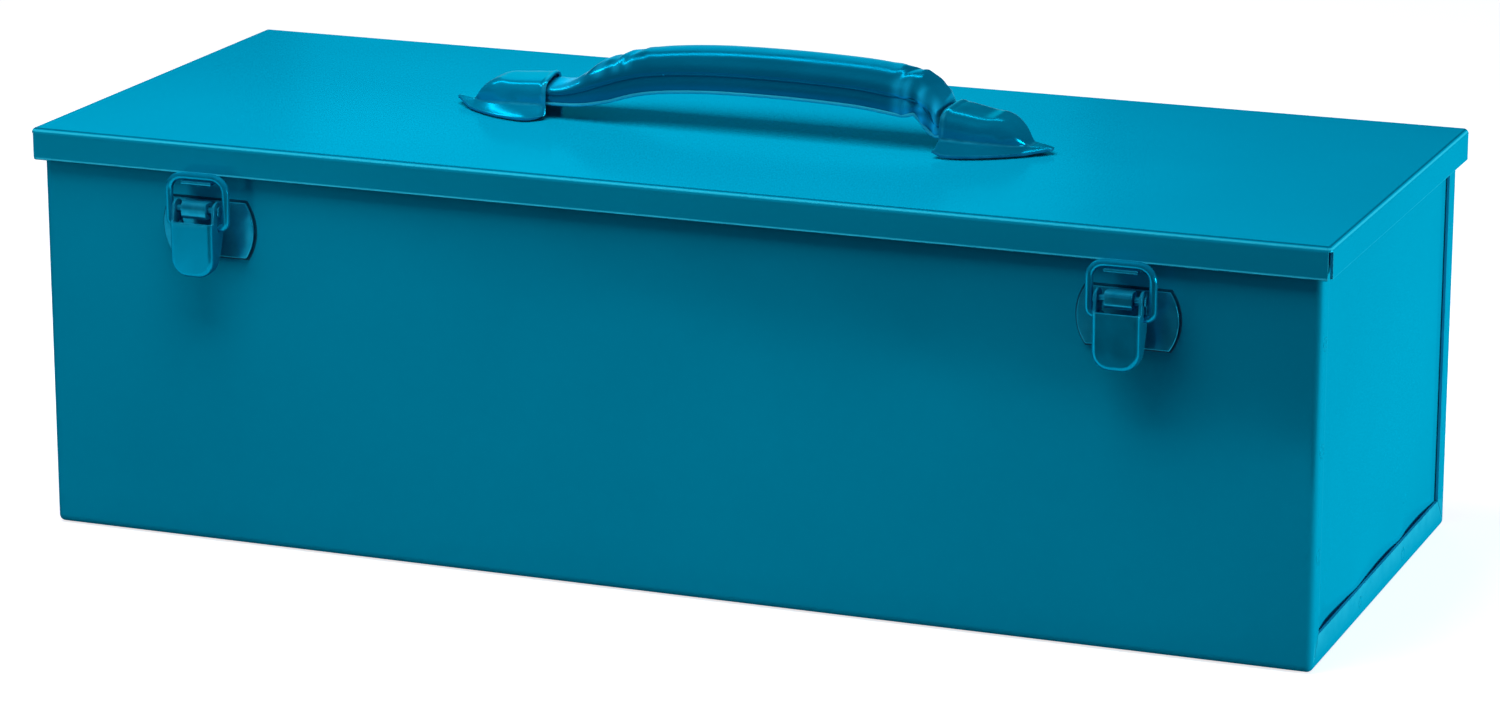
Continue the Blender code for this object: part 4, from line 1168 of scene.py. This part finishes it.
def cap_ring(along, cap):
    """Points across the cap: along the brim, up over the dome and out along the other brim."""
    brim, dome, brim_rise, dome_rise = cap_sizes(along, cap)
    lift = cap["tip_lift"] * smooth_step((along - TIP_LIFT_START) / TIP_LIFT_REACH)
    flick = cap["corner_lift"] * (1 - smooth_step(along / CORNER_REACH))
    leaf = []
    for step in range(BRIM_STEPS + 1):
        share = step / BRIM_STEPS
        rise = CAP_EDGE_RISE + (brim_rise - CAP_EDGE_RISE) * share ** BRIM_CURVE + flick * (1 - share) ** 3
        leaf.append((brim + (dome - brim) * share, rise))
    arch = squared_arch(dome, dome_rise - brim_rise, DOME_ROUNDING, DOME_STEPS)
    near = resampled(leaf, BRIM_POINTS)
    over = resampled([(across, brim_rise + rise) for across, rise in arch], DOME_POINTS)
    far = [Vector((-point.x, point.y)) for point in reversed(near)]
    return [Vector((point.x, point.y + lift)) for point in near[:-1] + over + far[1:]]


def handle_cap(prefix, cap, finish):
    """A pressed dome over the strap's end, with a rolled mouth and a leaf-shaped, pointed brim."""
    side = cap["side"]
    rings = []
    for step in range(CAP_RINGS + 1):
        along = CAP_LENGTH * step / CAP_RINGS
        skew = cap["skew"] * (1 - smooth_step(along / SKEW_REACH))
        ring = []
        for across, rise in cap_ring(along, cap):
            y = -across
            x = side * (CAP_MOUTH_X + along + skew * y)
            if y < 0:
                for dent_along, dent_rise in cap["dents"]:
                    gap = ((along - dent_along) / DENT_LENGTH) ** 2 + ((rise - dent_rise) / DENT_HEIGHT) ** 2
                    y += DENT_DEPTH * math.exp(-gap)
            ring.append((x, y, LID_TOP + rise))
        rings.append(ring)
    form = loft(rings, False)[0]
    face_outwards(form, Vector((0, 0, 1)))
    name = prefix + "_cap_pressing"
    guide = placed_object(name, form_to_mesh(name, form))
    add_wall(guide, CAP_SHEET, CUT_EDGE, PRESSED_TURN, False)
    add_piece(name, evaluated_mesh(guide), finish, "paint", "lid", prefix + "_handle_cap")


def handle_path():
    """Corner points of the strap's middle line, left foot to right foot."""
    foot = CAP_GAP + CORE_SHEET / 2
    into_cap = list(CAP_END) + [(reach, foot) for reach in FOOT_REACH]
    points = [(-CAP_MOUTH_X - reach, rise) for reach, rise in reversed(into_cap)]
    points += [(reach - CAP_MOUTH_X, rise) for reach, rise in ARCH_LEFT]
    points += list(ARCH_MIDDLE)
    points += [(CAP_MOUTH_X - reach, rise) for reach, rise in reversed(ARCH_RIGHT)]
    points += [(CAP_MOUTH_X + reach, rise) for reach, rise in into_cap]
    return [Vector((x, 0, LID_TOP + rise)) for x, rise in points]


def smooth_path(corners, steps):
    """A smooth curve through the corners, with its direction at each point."""
    points = []
    padded = [corners[0]] + corners + [corners[-1]]
    for a, b, c, d in zip(padded, padded[1:], padded[2:], padded[3:]):
        for step in range(steps):
            t = step / steps
            slope = c - a
            bow = 2 * a - 5 * b + 4 * c - d
            twist = 3 * b - a - 3 * c + d
            place = b + (slope * t + bow * t * t + twist * t ** 3) / 2
            lean = slope + bow * 2 * t + twist * 3 * t * t
            points.append((place, lean.normalized()))
    points.append((corners[-1], (corners[-1] - corners[-2]).normalized()))
    return points


def cover_stations():
    """Along the cover: the seam line's place, its way up, and the section's width, side and crown."""
    stations = []
    for place, direction in smooth_path(handle_path(), PATH_STEPS):
        if abs(place.x) > CAP_MOUTH_X + COVER_REACH:
            continue
        left = (place.x - GRIP_LEFT[0]) / (GRIP_LEFT[1] - GRIP_LEFT[0])
        right = (GRIP_RIGHT[0] - place.x) / (GRIP_RIGHT[0] - GRIP_RIGHT[1])
        swell = smooth_step(left) * smooth_step(right)
        width = STRAP_WIDTH + (GRIP_WIDTH - STRAP_WIDTH) * swell
        side = STRAP_SIDE + (GRIP_SIDE - STRAP_SIDE) * swell
        crown = STRAP_CROWN + (GRIP_CROWN - STRAP_CROWN) * swell
        up = Vector((-direction.z, 0, direction.x))
        stations.append((place + up * (side - crown) / 2, up, width, side, crown))
    return stations


def cover_section(width, side, crown):
    """The cover's outline about its seam line: the crown from front to back, then under and up again."""
    half = width / 2
    inner = half - SEAM_GROOVE
    outer = half - SEAM_GROOVE / 3
    back = rounded([(half, 0, 0), (inner, -SEAM_GROOVE, 0), (inner, -2 * SEAM_GROOVE, 0),
                    (outer, -4 * SEAM_GROOVE, 0), (outer, -side, LOWER_CORNER), (0, -side, 0)], LOWER_STEPS)
    front = [(-across, above) for across, above in reversed(back[:-1])]
    over = squared_arch(-half, crown, CROWN_ROUNDING, CROWN_STEPS)
    return resampled(over, CROWN_POINTS), back[1:] + front[:-1]


def band_sum(bands, x):
    """The sum of soft bands across X at a place, each given as (place, half width, amount)."""
    return sum(amount * math.exp(-((x - place) / half_width) ** 2) for place, half_width, amount in bands)


def crease_height(x, across):
    """How far the cover's skin stands out or sinks at its creases."""
    return sum(band_sum([crease[:3]], x - crease[3] * across) for crease in CREASES)


def handle_cover(finish, piping, tree):
    """The vinyl cover: a strap that swells to the grip, creased where it bends, with piping and seams."""
    rings = []
    painted_sheen = []
    piping_lines = ([], [])
    seam_lines = ([], [])
    for seam, up, width, side, crown in cover_stations():
        over, under = cover_section(width, side, crown)
        ring = []
        for across, above in over:
            lump = crease_height(seam.x, across) * smooth_step(CREASE_SLOPE * above / crown)
            ring.append(seam + Vector((0, across, 0)) + up * (above + lump))
        ring += [seam + Vector((0, across, 0)) + up * above for across, above in under]
        top_sheen = [smooth_step(SHEEN_SLOPE * above / crown - SHEEN_START) for across, above in over]
        top_sheen += [0] * len(under)
        for point, top in zip(ring, top_sheen):
            front = smooth_step((-2 * point.y / width - FRONT_START) / (1 - FRONT_START))
            point.y -= band_sum(SIDE_FOLDS, point.x) * front
            # Painted highlight: the strap's top and the folds down the front at the right bend are painted paler,
            # standing for a sheen
            painted_sheen_amount = band_sum(SHEEN_TOP, seam.x) * top + band_sum(SHEEN_FRONT, point.x) * front
            painted_sheen.append(min(painted_sheen_amount, 1))
        rings.append(ring)
        if abs(seam.x) < CAP_MOUTH_X + PIPING_REACH:
            for way, piping_line, seam_line in zip((-1, 1), piping_lines, seam_lines):
                out = Vector((0, way * (width / 2 - PIPING_SINK), 0))
                piping_line.append(seam + out - up * (side - PIPING_RISE))
                out = Vector((0, way * (width / 2 - SEAM_SINK), 0))
                seam_line.append(seam + out - up * SEAM_GROOVE)
    form, rows = loft(rings, True)
    form.faces.new(rows[0])
    form.faces.new(rows[-1])
    bmesh.ops.recalc_face_normals(form, faces=form.faces)
    mesh = form_to_mesh("handle_cover_skin", form)
    mesh.attributes.new("painted_sheen", 'FLOAT', 'POINT').data.foreach_set("value", painted_sheen)
    add_piece("handle_cover_skin", mesh, finish, "vinyl", "lid", "handle_cover")
    mesh = round_bars("handle_piping", tree, piping_lines, PIPING, PIPING_SIDES, piping)
    add_piece("handle_piping", mesh, piping, "vinyl", "lid")
    mesh = round_bars("handle_seams", tree, seam_lines, SEAM_BEAD, SEAM_SIDES, finish)
    add_piece("handle_seams", mesh, finish, "vinyl", "lid")


def photo_camera():
    """The camera that the photograph was taken from."""
    level = math.cos(CAMERA_RISE)
    back = Vector((math.sin(CAMERA_TURN) * level, -math.cos(CAMERA_TURN) * level, math.sin(CAMERA_RISE)))
    lens = bpy.data.cameras.new("photo_camera")
    lens.sensor_width = CAMERA_SENSOR
    lens.lens = CAMERA_LENS
    camera = placed_object("photo_camera", lens)
    camera.location = CAMERA_PLACE
    camera.rotation_mode = 'QUATERNION'
    camera.rotation_quaternion = back.to_track_quat('Z', 'Y')
    bpy.context.scene.camera = camera


def soft_light(name, place, aim, size, power, works_on):
    """A flat soft light, out of the camera's sight, that lights matt surfaces, shows in mirrors, or both."""
    lamp = bpy.data.lights.new(name, 'AREA')
    lamp.shape = 'RECTANGLE'
    lamp.size, lamp.size_y = size
    lamp.energy = power
    light = placed_object(name, lamp)
    light.location = place
    light.rotation_euler = (Vector(aim) - Vector(place)).to_track_quat('-Z', 'Y').to_euler()
    light.visible_camera = False
    light.visible_diffuse = works_on != "mirrors"
    light.visible_glossy = works_on != "matt"


def flat_stage(name, half_size, finish):
    """A flat card of the studio, with half its length and width given."""
    finish.set("Roughness", MATT)
    form = bmesh.new()
    stretched = Matrix.Diagonal((*half_size, 1, 1))
    bmesh.ops.create_grid(form, x_segments=1, y_segments=1, size=1, matrix=stretched)
    mesh = form_to_mesh(name, form)
    mesh.materials.append(finish.material)
    piece = placed_object(name, mesh)
    return piece


def white_floor():
    """A white floor, which bounces less light on the object than it shows."""
    finish = Finish("white_floor")
    path = finish.nodes.new("ShaderNodeLightPath")
    seen = path.outputs["Is Camera Ray"]
    for ray in ("Is Glossy Ray", "Is Transmission Ray"):
        seen = finish.combined('MAXIMUM', seen, path.outputs[ray])
    finish.set("Base Color", finish.mix(seen, [FLOOR_BOUNCE] * 3, [FLOOR_WHITE] * 3))
    finish.set("Emission Strength", finish.combined('MULTIPLY', seen, FLOOR_GLOW))
    finish.set("Emission Color", (1, 1, 1, 1))
    finish.set("Specular IOR Level", 0.0)
    floor = flat_stage("floor", FLOOR_HALF, finish)
    floor.location.z = -FLOOR_DROP


def dark_table_front():
    """The unlit room before the table, which only shows as a dark reflection in the case's front."""
    finish = Finish("dark_room")
    finish.set("Base Color", DARK_ROOM_SHADE)
    card = flat_stage("dark_room", DARK_ROOM_HALF, finish)
    away = Vector((math.sin(CAMERA_TURN), -math.cos(CAMERA_TURN), 0))
    card.rotation_euler.z = CAMERA_TURN
    card.location = Vector((CAMERA_PLACE.x, CAMERA_PLACE.y, MM)) - away * (TABLE_EDGE - DARK_ROOM_HALF[1])
    card.visible_camera = False
    card.visible_diffuse = False
    card.visible_shadow = False


def studio():
    """A bluish room, a white floor and five soft lights."""
    scene = bpy.context.scene
    scene.view_settings.view_transform = 'Standard'
    world = bpy.data.worlds.new("studio")
    world.use_nodes = True
    room = world.node_tree.nodes["Background"]
    room.inputs["Color"].default_value = ROOM_COLOUR
    room.inputs["Strength"].default_value = ROOM_LEVEL
    scene.world = world
    white_floor()
    dark_table_front()
    for light in LIGHTS:
        soft_light(*light)


def tool_case():
    """All the case's pieces; the right handle cap gets a darker copy of the lacquer, painted shade, so it is a
    shade darker than the left one.
    """
    enamel = teal_enamel()
    plate = lacquered_plate("lacquered_plate", PLATE)
    cap_plate_painted_shade = lacquered_plate("lacquered_plate_painted_shade", PLATE_PAINTED_SHADE)
    vinyl = gloss_vinyl("teal_vinyl", VINYL)
    # The piping's lighter colour is a painted highlight
    piping = gloss_vinyl("piping_painted_highlight", PIPING_PAINTED_HIGHLIGHT)
    joint = painted_joint_shade()
    bars = round_bar_tree()
    body_trough(enamel)
    lid_pan(enamel)
    for prefix, cap, cap_finish in (("left", LEFT_CAP, plate), ("right", RIGHT_CAP, cap_plate_painted_shade)):
        end_panel(prefix, cap["side"], enamel)
        for piece in ("latch_base", "latch_pin", "keeper", "hinge_body_leaf", "hinge_lid_leaf", "hinge_pin"):
            softened(prefix + "_" + piece, LATCH_SOFT, plate)
        # joint holds the painted shade finish for the dark ring round the plate
        painted_plate_shade(prefix, joint)
        latch_lever(prefix, plate)
        latch_loop(prefix, bars, plate)
        handle_cap(prefix, cap, cap_finish)
    spot_welds(weld_tree(), enamel)
    handle_cover(vinyl, piping, bars)
    core = frame["nodes"]["handle_core"]
    core.data.materials.clear()
    core.data.materials.append(bare_steel())


photo_camera()
studio()
tool_case()
